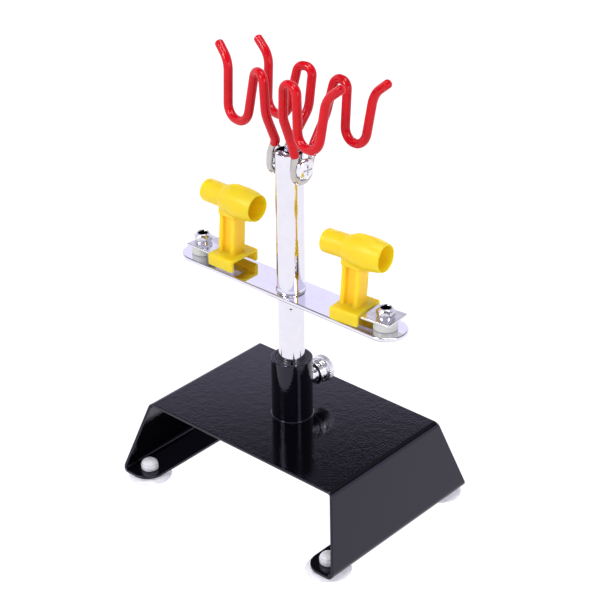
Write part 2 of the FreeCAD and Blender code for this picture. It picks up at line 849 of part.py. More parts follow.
# ---------------------------------------------------------------- yellow airbrush rests
RIDGE_START = "dims.head_swell - dims.ridge_length / 2"
for side, sx in (("east", 1), ("west", -1)):
    tag = side.capitalize() + "Rest"
    centre = "%d * dims.%s_rest_inset" % (-sx, side)
    saddle = box(
        tag + "Saddle",
        "dims.saddle_length",
        "dims.saddle_depth",
        "dims.saddle_top - dims.saddle_bottom",
        x="%s - dims.saddle_length / 2" % centre,
        y="-dims.saddle_depth / 2",
        z="dims.saddle_bottom",
    )
    mast = box(
        tag + "Mast",
        "dims.mast_width",
        "dims.mast_depth",
        "dims.head_height - dims.saddle_top + 0.5",
        x="%s - dims.mast_width / 2" % centre,
        y="-dims.mast_depth / 2",
        z="dims.saddle_top - 0.5",
    )
    band = box(
        tag + "Band",
        "dims.mast_width + 2 * dims.band_rim",
        "dims.mast_depth + 2 * dims.band_rim",
        "dims.band_height + 3",
        x="%s - dims.mast_width / 2 - dims.band_rim" % centre,
        y="-dims.mast_depth / 2 - dims.band_rim",
        z="dims.head_height - dims.head_neck - dims.band_height",
    )
    tail = cylinder(
        tag + "Tail",
        "dims.head_small",
        "dims.head_step - dims.head_back - dims.head_round + 1",
        axis="x",
        x="%s + dims.head_back + dims.head_round" % centre,
        z="dims.head_height",
    )
    tail_end = cone(
        tag + "TailEnd",
        "dims.head_small - dims.head_round",
        "dims.head_small",
        "dims.head_round",
        axis="x",
        x="%s + dims.head_back" % centre,
        z="dims.head_height",
    )
    swell = cone(
        tag + "Swell",
        "dims.head_neck",
        "dims.head_large",
        "dims.head_swell - dims.head_step",
        axis="x",
        x="%s + dims.head_step" % centre,
        z="dims.head_height",
    )
    cup = cylinder(
        tag + "Cup",
        "dims.head_large",
        "dims.head_mouth - dims.head_swell",
        axis="x",
        x="%s + dims.head_swell" % centre,
        z="dims.head_height",
    )
    ridge = box(
        tag + "Ridge",
        "dims.ridge_length",
        "dims.ridge_width",
        "dims.head_large + dims.ridge_rise - dims.mouth_bore - 1",
        x="%s + %s" % (centre, RIDGE_START),
        y="-dims.ridge_width / 2",
        z="dims.head_height + dims.mouth_bore + 1",
    )
    solid = fuse(tag + "Solid", [saddle, mast, band, tail, tail_end, swell, cup, ridge])
    channel = box(
        tag + "Channel",
        "dims.saddle_length + 2",
        "dims.saddle_depth - 2 * dims.saddle_wall",
        "%s - dims.saddle_bottom + 1" % CLAMP_TOP,
        x="%s - dims.saddle_length / 2 - 1" % centre,
        y="-dims.saddle_depth / 2 + dims.saddle_wall",
        z="dims.saddle_bottom - 1",
    )
    groove_height = "dims.head_height - dims.head_neck - dims.band_height - dims.saddle_top"
    front_groove = box(
        tag + "FrontGroove",
        "dims.groove_width",
        "dims.groove_depth + 1",
        groove_height,
        x="%s - dims.groove_width / 2" % centre,
        y="-dims.mast_depth / 2 - 1",
        z="dims.saddle_top",
    )
    rear_groove = box(
        tag + "RearGroove",
        "dims.groove_width",
        "dims.groove_depth + 1",
        groove_height,
        x="%s - dims.groove_width / 2" % centre,
        y="dims.mast_depth / 2 - dims.groove_depth",
        z="dims.saddle_top",
    )
    mouth = cylinder(
        tag + "Mouth",
        "dims.mouth_bore",
        "dims.mouth_depth + 1",
        axis="x",
        x="%s + dims.head_mouth - dims.mouth_depth" % centre,
        z="dims.head_height",
    )
    tail_hole = cylinder(
        tag + "TailHole",
        "dims.tail_bore",
        "dims.tail_depth",
        axis="x",
        x="%s + dims.head_mouth - dims.tail_depth" % centre,
        z="dims.head_height",
    )
    rest = cut(tag, solid, [channel, front_groove, rear_groove, mouth, tail_hole])
    place_by(rest, x="%d * dims.bar_hole_x" % sx)
    rest.Placement.Rotation = FreeCAD.Rotation(UP, size(side + "_rest_yaw"))
    node(rest, side + "_airbrush_rest")

# ---------------------------------------------------------------- checks and export
doc.recompute()
for obj in doc.Objects:
    state = " ".join(obj.State)
    if "Invalid" in state or "Error" in state:
        raise RuntimeError("%s did not compute: %s" % (obj.Name, state))
for obj in NODES:
    shape = obj.Shape
    if shape.isNull() or not shape.isValid():
        raise RuntimeError("%s has no valid shape" % obj.Label)
    shape.exportStep("parts/%s.step" % obj.Label)
    print("%-26s solids %d  volume %9.1f" % (obj.Label, len(shape.Solids), shape.Volume))
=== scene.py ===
from math import atan2, cos, pi, radians, sin, tan

import bmesh
import bpy
from bpy.props import FloatProperty, FloatVectorProperty, IntProperty, PointerProperty
from mathutils import Matrix, Vector


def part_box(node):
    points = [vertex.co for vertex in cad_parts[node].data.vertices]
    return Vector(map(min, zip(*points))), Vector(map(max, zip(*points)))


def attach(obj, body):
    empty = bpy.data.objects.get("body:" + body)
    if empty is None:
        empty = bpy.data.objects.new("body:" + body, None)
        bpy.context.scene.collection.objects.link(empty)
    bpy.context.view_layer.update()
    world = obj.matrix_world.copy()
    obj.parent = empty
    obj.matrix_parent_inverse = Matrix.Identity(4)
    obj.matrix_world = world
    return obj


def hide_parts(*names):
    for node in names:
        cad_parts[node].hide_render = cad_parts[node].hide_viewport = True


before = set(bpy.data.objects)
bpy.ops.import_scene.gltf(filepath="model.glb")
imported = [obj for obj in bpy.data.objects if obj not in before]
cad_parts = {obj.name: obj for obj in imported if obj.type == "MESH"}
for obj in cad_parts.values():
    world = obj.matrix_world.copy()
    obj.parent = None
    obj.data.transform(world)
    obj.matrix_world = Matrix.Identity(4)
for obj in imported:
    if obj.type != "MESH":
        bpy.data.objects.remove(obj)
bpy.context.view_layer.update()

bl_info = {
    "name": "Airbrush Holder Stand",
    "version": (1, 0, 0),
    "blender": (4, 5, 0),
    "location": "View3D > Sidebar > Stand",
    "description": "Builds the looks of a bench stand for airbrushes around its measured frame",
    "category": "Object",
}

# Lengths are in metres where MM stands beside them, and plain numbers are in millimetres.
MM = 0.001
SIDES = (("east", 1), ("west", -1))

# Where things stand in the frame, in metres.
BASE_LOW, BASE_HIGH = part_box("base_plate")
COLLAR_LOW, COLLAR_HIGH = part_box("collar_tube")
BUSH_LOW, BUSH_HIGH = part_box("collar_bush")
SCREW_LOW, SCREW_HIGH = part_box("thumb_screw")
LOWER_LOW, LOWER_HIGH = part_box("lower_column_tube")
UPPER_LOW, UPPER_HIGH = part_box("upper_column_tube")
BAR_LOW, BAR_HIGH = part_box("cross_bar")

# The bush's slit and the dent in the lower tube, which both face this way.
SLIT_ANGLE = radians(-48.0)
LOWER_RADIUS, DENT_RADIUS, DENT_HEIGHT = 8.0, 1.5, 128.5
# The thumb screw's knob.
KNOB_LENGTH, KNURL_DEPTH, KNURL_FROM = 4.6, 0.22, 8.0

# The hooks: their turn about Z, the bolt, and the loop that hangs on it.
HOOK_YAW = radians(-8.0)
HOOK_HEIGHT = 219.0 * MM
BOLT_RISE = 3.0 * MM
HOOK_TILT = {"east": radians(10.0), "west": radians(8.5)}
LOOP_OFFSET = 10.8 * MM
LOOP_RADIUS = 6.0 * MM

# Corners of one hook leg in millimetres: out from the column, sideways and up
# from the bolt, and the radius of the bend there.
HOOK_BENDS = {
    "east": (
        (10.8, 6.0, 0.0, 0.0), (10.8, 6.0, 8.0, 6.0), (9.0, 8.0, 15.5, 12.0), (7.2, 16.3, 32.5, 18.0),
        (7.1, 19.4, 54.0, 5.2), (18.0, 19.1, 53.6, 5.2), (23.6, 17.6, 22.2, 9.0),
        (40.4, 17.4, 22.4, 9.0), (41.4, 17.8, 54.0, 14.0), (50.5, 17.4, 61.9, 0.0),
    ),
    "west": (
        (10.8, 6.0, 0.0, 0.0), (10.8, 6.0, 7.2, 3.0), (9.2, 6.4, 11.4, 3.0), (6.6, 6.6, 14.2, 8.0),
        (6.9, 16.2, 31.0, 18.0), (9.8, 18.6, 53.6, 5.0), (19.8, 16.2, 53.4, 5.0),
        (23.6, 14.8, 19.5, 9.0), (40.8, 15.0, 20.0, 9.0), (45.0, 15.2, 51.5, 14.0),
        (54.3, 14.6, 58.5, 0.0),
    ),
}
# How far above the bolt each hook's coating starts, and how it swells and ends,
# as (distance, share of the radius).
COAT_START = {"east": 8.4 * MM, "west": 11.6 * MM}
LIP_TAPER = ((0.0, 0.77), (0.15, 0.84), (0.6, 0.93), (1.4, 1.0))
LIP_LENGTH = 1.6 * MM
TIP_TAPER = ((0.0, 1.0), (0.45, 0.98), (0.7, 0.88), (0.84, 0.72), (0.93, 0.5), (0.98, 0.25), (1.0, 0.03))
# Handle length that makes a quarter circle of radius one.
QUARTER_GRIP = 0.5523

# The bar's ends: the end bolts and nuts, the rests' place and turn, and the clamp plates.
BOLT_X = 72.5 * MM
REST_INSET = {"east": 21.5 * MM, "west": 25.3 * MM}
REST_YAW = {"east": radians(5.5), "west": 0.0}
REST_AXIS = 183.6
POST_FOOT, POST_LEAN = 148.0, 2.4
PLATE_OUTER = {"east": 8.5 * MM, "west": 5.0 * MM}
PLATE_LENGTH, PLATE_WIDTH = 33.5 * MM, 18.6 * MM
NUT_FLATS = 10.0
HEXAGON_SHARP = radians(28)
# The nut's faces nearer the bolt's axis than this get the painted shade of its hole.
THREAD_RADIUS = 3.09 * MM

# Edges sharper than this many degrees are cut edges, which get a rounding.
CUT_ANGLE = 50.0

# The camera: direction, distance, the point that it looks at, and its lens.
AZIMUTH, ELEVATION, ROLL = radians(42.18), radians(28.87), radians(-0.68)
CAMERA_DISTANCE, CAMERA_TARGET = 1.0866, Vector((0.0, 0.0, 0.13135))
LENS, SENSOR, SHIFT = 109.23, 36.0, 0.0147
FLOOR_RADIUS, FLOOR_CORNERS = 6.0, 48
# The surround at and above the horizon, as (height from 0 to 1, brightness).
HORIZON = ((0.30, 1.0), (0.505, 1.05), (0.52, 0.9), (0.535, 0.5), (0.55, 0.15), (0.565, 0.06))


def length(name, description, millimetres):
    """A length that the user can change."""
    return FloatProperty(name=name, description=description, default=millimetres * MM, unit="LENGTH")


def colour(name, description, default):
    """A colour that the user can change."""
    return FloatVectorProperty(
        name=name, description=description, default=default, size=3, subtype="COLOR"
    )


class StandSizes(bpy.types.PropertyGroup):
    """Sizes of the stand's pieces that only the looks depend on"""

    sheet: length("Sheet", "Thickness of the bent base sheet", 2.0)
    bend_radius: length("Bend radius", "Outer radius of the base's bends", 4.0)
    sheet_edge: length("Sheet edge", "Rounding of the coated sheet's cut edges", 0.45)
    rim_edge: length("Tube edge", "Rounding of the collar's rim", 0.45)
    bar_edge: length("Bar edge", "Polished rounding of the cross bar", 0.85)
    wire_radius: length("Wire radius", "Radius of the bare hook wire", 2.0)
    coat_radius: length("Coating radius", "Radius over the hook's dipped coating", 2.75)
    knurls: IntProperty(name="Knurls", description="Ridges round the thumb screw's head", default=44)
    dimple_depth: length("Dimple depth", "Depth of the dent in the lower tube", 0.5)
    rest_grain: length("Rest grain", "Grid on which the moulded rests are blended", 0.4)


class StandColours(bpy.types.PropertyGroup):
    """Colours of the stand's finishes"""

    coat_black: colour("Powder coat", "Colour of the gloss coat", (0.0012, 0.0011, 0.0016))
    vinyl_red: colour("Hook coating", "Colour of the dipped coating", (0.62, 0.0025, 0.0095))
    plastic_yellow: colour("Rests", "Colour of the moulded rests", (1.0, 0.66, 0.016))
    nylon: colour("Spacers", "Colour of the milky spacers", (0.62, 0.63, 0.58))
    chrome: colour("Chrome", "Colour of the chrome plate", (0.78, 0.775, 0.81))
    floor: colour("Floor", "Colour of the studio floor", (0.13, 0.13, 0.133))


# --- making pieces
def add_object(name, data):
    """A new object in the scene, at the frame's origin."""
    obj = bpy.data.objects.new(name, data)
    bpy.context.scene.collection.objects.link(obj)
    return obj


def cage(name, points, faces=(), edges=()):
    """A mesh object from its corner points."""
    mesh = bpy.data.meshes.new(name)
    mesh.from_pydata([tuple(p) for p in points], list(edges), list(faces))
    mesh.validate()
    return add_object(name, mesh)


def add_step(obj, kind, **settings):
    """One step of a piece's modifier stack."""
    step = obj.modifiers.new(kind.replace("_", " ").title(), kind)
    for key, value in settings.items():
        setattr(step, key, value)
    return step


def round_edges(obj, width, segments=3, angle=35.0):
    """Rounds the sharp edges and keeps the flat faces flat."""
    add_step(
        obj, "BEVEL", width=width, segments=segments, limit_method="ANGLE",
        angle_limit=radians(angle), use_clamp_overlap=True,
    )
    even_shading(obj)


def even_shading(obj, weight=60):
    """Shades a piece smoothly, with its large faces kept flat."""
    add_step(obj, "WEIGHTED_NORMAL", mode="FACE_AREA", weight=weight, keep_sharp=False)


def smooth(obj):
    """Shades every face of a piece smoothly."""
    for face in obj.data.polygons:
        face.use_smooth = True


def scaled(colour, shares):
    """A colour with each of its channels scaled."""
    return tuple(channel * share for channel, share in zip(colour, shares))


def settle(obj, place=None):
    """Applies the stack of a piece, then its place in the frame."""
    bpy.context.view_layer.update()
    graph = bpy.context.evaluated_depsgraph_get()
    made = bpy.data.meshes.new_from_object(obj.evaluated_get(graph), depsgraph=graph)
    made.name = obj.name
    obj.modifiers.clear()
    obj.data = made
    if place is not None:
        made.transform(place)
    body = bmesh.new()
    body.from_mesh(made)
    bmesh.ops.remove_doubles(body, verts=body.verts, dist=0.001 * MM)
    bmesh.ops.recalc_face_normals(body, faces=body.faces)
    body.to_mesh(made)
    body.free()
    smooth(obj)


def turn_profile(name, profile, closed=False, steps=96):
    """A shape turned about Z from (radius, height) points in millimetres, outer wall downwards."""
    points = [(r * MM, 0.0, z * MM) for r, z in profile]
    edges = [(i, i + 1) for i in range(len(points) - 1)]
    if closed:
        edges.append((len(points) - 1, 0))
    obj = cage(name, points, edges=edges)
    add_step(
        obj, "SCREW", steps=steps, render_steps=steps, use_merge_vertices=True,
        merge_threshold=0.002 * MM, use_smooth_shade=True, use_normal_calculate=closed,
    )
    return obj


def ringed(name, profile, radius_at, columns, closed):
    """Rings of (radius, height) points in millimetres, with a radius that changes round each ring."""
    points, faces = [], []
    for radius, height in profile:
        for c in range(columns):
            angle = 2 * pi * c / columns
            r = radius_at(angle, radius) * MM
            points.append((r * cos(angle), r * sin(angle), height * MM))
    rings = len(profile)
    for a in range(rings if closed else rings - 1):
        b = (a + 1) % rings
        for c in range(columns):
            d = (c + 1) % columns
            faces.append((a * columns + c, b * columns + c, b * columns + d, a * columns + d))
    if not closed:
        faces.append(tuple(range(columns)))
        faces.append(tuple((rings - 1) * columns + c for c in reversed(range(columns))))
    return cage(name, points, faces)


def add_block(body, low, high, edge):
    """Adds a box with rounded edges to a body of shells, sizes in millimetres."""
    centre = (Vector(low) + Vector(high)) / 2 * MM
    span = (Vector(high) - Vector(low)) * MM
    place = Matrix.Translation(centre) @ Matrix.Diagonal((*span, 1.0))
    made = bmesh.ops.create_cube(body, size=1.0, matrix=place)
    edges = {e for v in made["verts"] for e in v.link_edges}
    bmesh.ops.bevel(body, geom=list(edges), offset=edge * MM, segments=2, profile=0.5, affect="EDGES")


def shells_object(name, body):
    """A mesh object from a body of shells."""
    mesh = bpy.data.meshes.new(name)
    body.to_mesh(mesh)
    body.free()
    return add_object(name, mesh)


def cut_away(obj, cutter, place=None):
    """Cuts a helper out of a piece, settles the piece and removes the helper."""
    add_step(obj, "BOOLEAN", object=cutter, operation="DIFFERENCE", solver="EXACT", use_self=True)
    settle(obj, place)
    bpy.data.objects.remove(cutter)


def hand_over(obj, body, material, node):
    """Gives a finished piece its finish, hides the CAD part that it stands for and hangs the piece on its
    body's empty.
    """
    obj.data.materials.clear()
    obj.data.materials.append(material)
    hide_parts(node)
    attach(obj, body)


# --- finishes
def new_finish(name):
    """A finish with its nodes, which are still to be made, and its links."""
    material = bpy.data.materials.get(name) or bpy.data.materials.new(name)
    material.use_nodes = True
    material.node_tree.nodes.clear()
    return material, material.node_tree.nodes, material.node_tree.links


def powder_coat():
    """Gloss black powder coat with its orange peel, slow waves and uneven gloss."""
    material, nodes, links = new_finish("gloss_black_powder_coat")

    place = nodes.new("ShaderNodeTexCoord")
    place.label = "Place on the stand"
    peel = nodes.new("ShaderNodeTexNoise")
    peel.label = "Orange peel"
    waves = nodes.new("ShaderNodeTexNoise")
    waves.label = "Slow waves of the coat"
    clouds = nodes.new("ShaderNodeTexNoise")
    clouds.label = "Thicker and thinner coat"
    peel_bump = nodes.new("ShaderNodeBump")
    peel_bump.label = "Height of the peel"
    wave_bump = nodes.new("ShaderNodeBump")
    wave_bump.label = "Height of the waves"
    gloss = nodes.new("ShaderNodeMapRange")
    gloss.label = "Gloss from place to place"
    tint = nodes.new("ShaderNodeMix")
    tint.label = "Black with a violet cast"
    tint.data_type = "RGBA"
    black = bpy.context.scene.stand_colours.coat_black
    coat = nodes.new("ShaderNodeBsdfPrincipled")
    coat.label = "Powder coat"
    out = nodes.new("ShaderNodeOutputMaterial")
    out.label = "Coated steel"

    for node, socket, value in (
        (peel, "Scale", 900.0), (peel, "Detail", 1.5), (peel, "Roughness", 0.45), (waves, "Scale", 190.0),
        (waves, "Detail", 1.0), (clouds, "Scale", 28.0), (clouds, "Detail", 3.0),
        (peel_bump, "Strength", 0.7), (peel_bump, "Distance", 0.00006), (wave_bump, "Strength", 0.22),
        (wave_bump, "Distance", 0.00012), (gloss, "To Min", 0.04), (gloss, "To Max", 0.1),
        (tint, "A", (*black, 1.0)), (tint, "B", (*scaled(black, (1.8, 1.7, 2.0)), 1.0)),
        (coat, "IOR", 1.5), (coat, "Specular IOR Level", 0.46),
        (coat, "Specular Tint", (0.80, 0.76, 1.0, 1.0)),
    ):
        node.inputs[socket].default_value = value

    ripple = nodes.new("NodeFrame")
    ripple.label = "Ripple of the coat"
    finish = nodes.new("NodeFrame")
    finish.label = "Colour and gloss"
    for node, parent, spot in (
        (place, None, (-1100, 0)), (peel, ripple, (-850, -150)), (waves, ripple, (-850, -400)),
        (clouds, finish, (-850, 250)), (peel_bump, ripple, (-550, -150)),
        (wave_bump, ripple, (-300, -300)), (gloss, finish, (-550, 150)),
        (tint, finish, (-550, 400)), (coat, None, (0, 100)), (out, None, (320, 100)),
    ):
        node.parent = parent
        node.location = spot

    links.new(place.outputs["Object"], peel.inputs["Vector"])
    links.new(place.outputs["Object"], waves.inputs["Vector"])
    links.new(place.outputs["Object"], clouds.inputs["Vector"])
    links.new(peel.outputs["Fac"], peel_bump.inputs["Height"])
    links.new(waves.outputs["Fac"], wave_bump.inputs["Height"])
    links.new(peel_bump.outputs["Normal"], wave_bump.inputs["Normal"])
    links.new(clouds.outputs["Fac"], gloss.inputs["Value"])
    links.new(clouds.outputs["Fac"], tint.inputs["Factor"])
    links.new(tint.outputs["Result"], coat.inputs["Base Color"])
    links.new(gloss.outputs["Result"], coat.inputs["Roughness"])
    links.new(wave_bump.outputs["Normal"], coat.inputs["Normal"])
    links.new(coat.outputs["BSDF"], out.inputs["Surface"])
    return material


def bright_metal(name, colour, dull, gloss_low, gloss_high, grain, depth):
    """Plated or drawn metal: grain stretched along one way, smudges, and a duller tint in places."""
    material, nodes, links = new_finish(name)

    place = nodes.new("ShaderNodeTexCoord")
    place.label = "Place on the stand"
    stretch = nodes.new("ShaderNodeMapping")
    stretch.label = "Grain direction"
    lines = nodes.new("ShaderNodeTexNoise")
    lines.label = "Drawing and polishing lines"
    relief = nodes.new("ShaderNodeBump")
    relief.label = "Depth of the lines"
    smudge = nodes.new("ShaderNodeTexNoise")
    smudge.label = "Smudges"
    gloss = nodes.new("ShaderNodeMapRange")
    gloss.label = "Mirror to smudged"
    tint = nodes.new("ShaderNodeMix")
    tint.label = "Bright and dull plate"
    tint.data_type = "RGBA"
    metal = nodes.new("ShaderNodeBsdfPrincipled")
    metal.label = "Metal"
    out = nodes.new("ShaderNodeOutputMaterial")
    out.label = "Metal surface"

    for node, socket, value in (
        (stretch, "Scale", grain), (lines, "Scale", 1.0), (lines, "Detail", 4.0),
        (relief, "Strength", 0.5), (relief, "Distance", depth), (smudge, "Scale", 130.0),
        (smudge, "Detail", 5.0), (smudge, "Distortion", 0.6), (gloss, "From Min", 0.35),
        (gloss, "From Max", 0.75), (gloss, "To Min", gloss_low), (gloss, "To Max", gloss_high),
        (tint, "A", (*colour, 1.0)), (tint, "B", (*dull, 1.0)), (metal, "Metallic", 1.0),
    ):
        node.inputs[socket].default_value = value

    relief_frame = nodes.new("NodeFrame")
    relief_frame.label = "Lines in the plate"
    wear_frame = nodes.new("NodeFrame")
    wear_frame.label = "Smudges and tint"
    for node, parent, spot in (
        (place, None, (-1200, 0)), (stretch, relief_frame, (-950, -250)),
        (lines, relief_frame, (-720, -250)), (relief, relief_frame, (-420, -250)),
        (smudge, wear_frame, (-850, 250)), (gloss, wear_frame, (-520, 100)),
        (tint, wear_frame, (-520, 400)), (metal, None, (0, 100)), (out, None, (320, 100)),
    ):
        node.parent = parent
        node.location = spot

    links.new(place.outputs["Object"], stretch.inputs["Vector"])
    links.new(stretch.outputs["Vector"], lines.inputs["Vector"])
    links.new(lines.outputs["Fac"], relief.inputs["Height"])
    links.new(place.outputs["Object"], smudge.inputs["Vector"])
    links.new(smudge.outputs["Fac"], gloss.inputs["Value"])
    links.new(smudge.outputs["Fac"], tint.inputs["Factor"])
    links.new(tint.outputs["Result"], metal.inputs["Base Color"])
    links.new(gloss.outputs["Result"], metal.inputs["Roughness"])
    links.new(relief.outputs["Normal"], metal.inputs["Normal"])
    links.new(metal.outputs["BSDF"], out.inputs["Surface"])
    return material


def moulded_plastic(name, colour, deep, gloss_low, gloss_high, ripple, depth, glow, clear, gleam):
    """Moulded or dipped plastic: flow marks in the colour, a fine skin ripple, light let in."""
    material, nodes, links = new_finish(name)

    place = nodes.new("ShaderNodeTexCoord")
    place.label = "Place on the stand"
    flow = nodes.new("ShaderNodeTexNoise")
    flow.label = "Flow marks"
    skin = nodes.new("ShaderNodeTexNoise")
    skin.label = "Ripple of the skin"
    relief = nodes.new("ShaderNodeBump")
    relief.label = "Depth of the ripple"
    gloss = nodes.new("ShaderNodeMapRange")
    gloss.label = "Glossy to handled"
    tint = nodes.new("ShaderNodeMix")
    tint.label = "Thin and deep colour"
    tint.data_type = "RGBA"
    plastic = nodes.new("ShaderNodeBsdfPrincipled")
    plastic.label = "Plastic"
    out = nodes.new("ShaderNodeOutputMaterial")
    out.label = "Plastic surface"

    for node, socket, value in (
        (flow, "Scale", 95.0), (flow, "Detail", 3.0), (flow, "Distortion", 1.2), (skin, "Scale", ripple),
        (skin, "Detail", 2.0), (relief, "Strength", 0.5), (relief, "Distance", depth),
        (gloss, "From Min", 0.3), (gloss, "From Max", 0.7), (gloss, "To Min", gloss_low),
        (gloss, "To Max", gloss_high), (tint, "A", (*colour, 1.0)), (tint, "B", (*deep, 1.0)),
        (plastic, "IOR", 1.5), (plastic, "Subsurface Weight", glow[0]),
        (plastic, "Subsurface Radius", glow[1]), (plastic, "Subsurface Scale", glow[2]),
        (plastic, "Transmission Weight", clear), (plastic, "Specular IOR Level", gleam),
    ):
        node.inputs[socket].default_value = value

    skin_frame = nodes.new("NodeFrame")
    skin_frame.label = "Skin of the moulding"
    colour_frame = nodes.new("NodeFrame")
    colour_frame.label = "Colour and gloss"
    for node, parent, spot in (
        (place, None, (-1100, 0)), (skin, skin_frame, (-800, -250)),
        (relief, skin_frame, (-450, -250)), (flow, colour_frame, (-800, 250)),
        (gloss, colour_frame, (-450, 100)), (tint, colour_frame, (-450, 400)),
        (plastic, None, (0, 100)), (out, None, (320, 100)),
    ):
        node.parent = parent
        node.location = spot

    links.new(place.outputs["Object"], flow.inputs["Vector"])
    links.new(place.outputs["Object"], skin.inputs["Vector"])
    links.new(skin.outputs["Fac"], relief.inputs["Height"])
    links.new(flow.outputs["Fac"], gloss.inputs["Value"])
    links.new(flow.outputs["Fac"], tint.inputs["Factor"])
    links.new(tint.outputs["Result"], plastic.inputs["Base Color"])
    links.new(gloss.outputs["Result"], plastic.inputs["Roughness"])
    links.new(relief.outputs["Normal"], plastic.inputs["Normal"])
    links.new(plastic.outputs["BSDF"], out.inputs["Surface"])
    return material


def chrome_finish(name, grain):
    """Mirror chrome with its grain along the given scale."""
    chrome = bpy.context.scene.stand_colours.chrome
    return bright_metal(name, chrome, scaled(chrome, (0.88, 0.87, 0.92)), 0.03, 0.09, grain, 0.000012)


def plated_finish():
    """Bright plate of the thumb screw and the hook bolt."""
    return bright_metal(
        "bright_plated_screw", (0.88, 0.88, 0.90), (0.66, 0.66, 0.68), 0.06, 0.18,
        (700.0, 700.0, 700.0), 0.00001,
    )


# --- stage
def floor_finish():
    """Pale paper floor with a very faint fibre."""
    material, nodes, links = new_finish("pale_paper_floor")
    place = nodes.new("ShaderNodeTexCoord")
    place.label = "Place on the floor"
    fibre = nodes.new("ShaderNodeTexNoise")
    fibre.label = "Paper fibre"
    tint = nodes.new("ShaderNodeMix")
    tint.label = "Paper white"
    tint.data_type = "RGBA"
    floor = bpy.context.scene.stand_colours.floor
    paper = nodes.new("ShaderNodeBsdfPrincipled")
    paper.label = "Paper"
    out = nodes.new("ShaderNodeOutputMaterial")
    out.label = "Floor"

    for node, socket, value in (
        (fibre, "Scale", 40.0), (tint, "A", (*floor, 1.0)),
        (tint, "B", (*scaled(floor, (0.99, 0.99, 0.99)), 1.0)), (paper, "Roughness", 0.9),
        (paper, "Specular IOR Level", 0.1), (paper, "Emission Color", (0.975, 0.955, 1.0, 1.0)),
        (paper, "Emission Strength", 1.03),
    ):
        node.inputs[socket].default_value = value

    sheet = nodes.new("NodeFrame")
    sheet.label = "Paper sheet"
    for node, parent, spot in (
        (place, sheet, (-800, 0)), (fibre, sheet, (-600, 0)), (tint, sheet, (-300, 0)),
        (paper, None, (0, 0)), (out, None, (320, 0)),
    ):
        node.parent = parent
        node.location = spot
    links.new(place.outputs["Object"], fibre.inputs["Vector"])
    links.new(fibre.outputs["Fac"], tint.inputs["Factor"])
    links.new(tint.outputs["Result"], paper.inputs["Base Color"])
    links.new(paper.outputs["BSDF"], out.inputs["Surface"])
    return material


def studio_world():
    """Even white surround, a little darker towards the horizon behind the stand."""
    world = bpy.data.worlds.new("soft_studio")
    bpy.context.scene.world = world
    world.use_nodes = True
    nodes, links = world.node_tree.nodes, world.node_tree.links
    nodes.clear()
    way = nodes.new("ShaderNodeTexCoord")
    way.label = "Direction"
    split = nodes.new("ShaderNodeSeparateXYZ")
    split.label = "Height of the direction"
    band = nodes.new("ShaderNodeValToRGB")
    band.label = "Floor, wall and ceiling"
    band.color_ramp.elements[0].position = 0.0
    band.color_ramp.elements[0].color = (0.98, 0.965, 1.0, 1.0)
    band.color_ramp.elements[1].position = 1.0
    band.color_ramp.elements[1].color = (0.42, 0.42, 0.44, 1.0)
    for position, grey in HORIZON:
        stop = band.color_ramp.elements.new(position)
        stop.color = (grey * 0.93, grey * 0.90, grey * 1.12, 1.0)
    glow = nodes.new("ShaderNodeBackground")
    glow.label = "Soft surround"
    glow.inputs["Strength"].default_value = 1.12
    out = nodes.new("ShaderNodeOutputWorld")
    out.label = "Studio"
    for node, spot in (
        (way, (-900, 0)), (split, (-700, 0)), (band, (-450, 0)), (glow, (-100, 0)), (out, (120, 0)),
    ):
        node.location = spot
    links.new(way.outputs["Generated"], split.inputs["Vector"])
    links.new(split.outputs["Z"], band.inputs["Fac"])
    links.new(band.outputs["Color"], glow.inputs["Color"])
    links.new(glow.outputs["Background"], out.inputs["Surface"])


def soft_box(name, place, aim, width, height, power):
    """A large area light that looks at a point."""
    light = bpy.data.lights.new(name, "AREA")
    light.shape = "RECTANGLE"
    light.size, light.size_y = width, height
    light.energy = power
    lamp = add_object(name, light)
    lamp.location = place
    lamp.rotation_euler = (Vector(aim) - Vector(place)).to_track_quat("-Z", "Y").to_euler()


class STAND_OT_stage(bpy.types.Operator):
    """Sets up the camera, the pale floor and the soft studio light"""

    bl_idname = "stand.stage"
    bl_label = "Studio"

    def execute(self, context):
        right = Vector((cos(AZIMUTH), sin(AZIMUTH), 0.0))
        level = cos(ELEVATION)
        back = Vector((right.y * level, -right.x * level, sin(ELEVATION)))
        up = back.cross(right)
        x_axis = right * cos(ROLL) + up * sin(ROLL)
        y_axis = up * cos(ROLL) - right * sin(ROLL)
        turn = Matrix((x_axis, y_axis, back)).transposed().to_4x4()
        camera = bpy.data.cameras.new("camera")
        camera.sensor_width, camera.lens, camera.shift_x = SENSOR, LENS, SHIFT
        camera.clip_start, camera.clip_end = 0.05, 30.0
        seat = add_object("camera", camera)
        seat.matrix_world = Matrix.Translation(CAMERA_TARGET + back * CAMERA_DISTANCE) @ turn
        context.scene.camera = seat
        context.scene.view_settings.view_transform = "Standard"

        turns = [2 * pi * i / FLOOR_CORNERS for i in range(FLOOR_CORNERS)]
        rim = [(FLOOR_RADIUS * cos(t), FLOOR_RADIUS * sin(t), 0.0) for t in turns]
        floor = cage("studio_floor", rim, [tuple(range(FLOOR_CORNERS))])
        floor.data.materials.append(floor_finish())

        studio_world()
        soft_box("key_box", (-0.5, -1.6, 1.5), (0, 0, 0.12), 0.7, 0.5, 23.0)
        soft_box("top_box", (0.1, 0.1, 1.8), (0, 0, 0.1), 0.8, 0.8, 13.0)
        soft_box("right_box", (1.9, -0.3, 0.9), (0, 0, 0.12), 0.5, 0.8, 9.0)
        return {"FINISHED"}


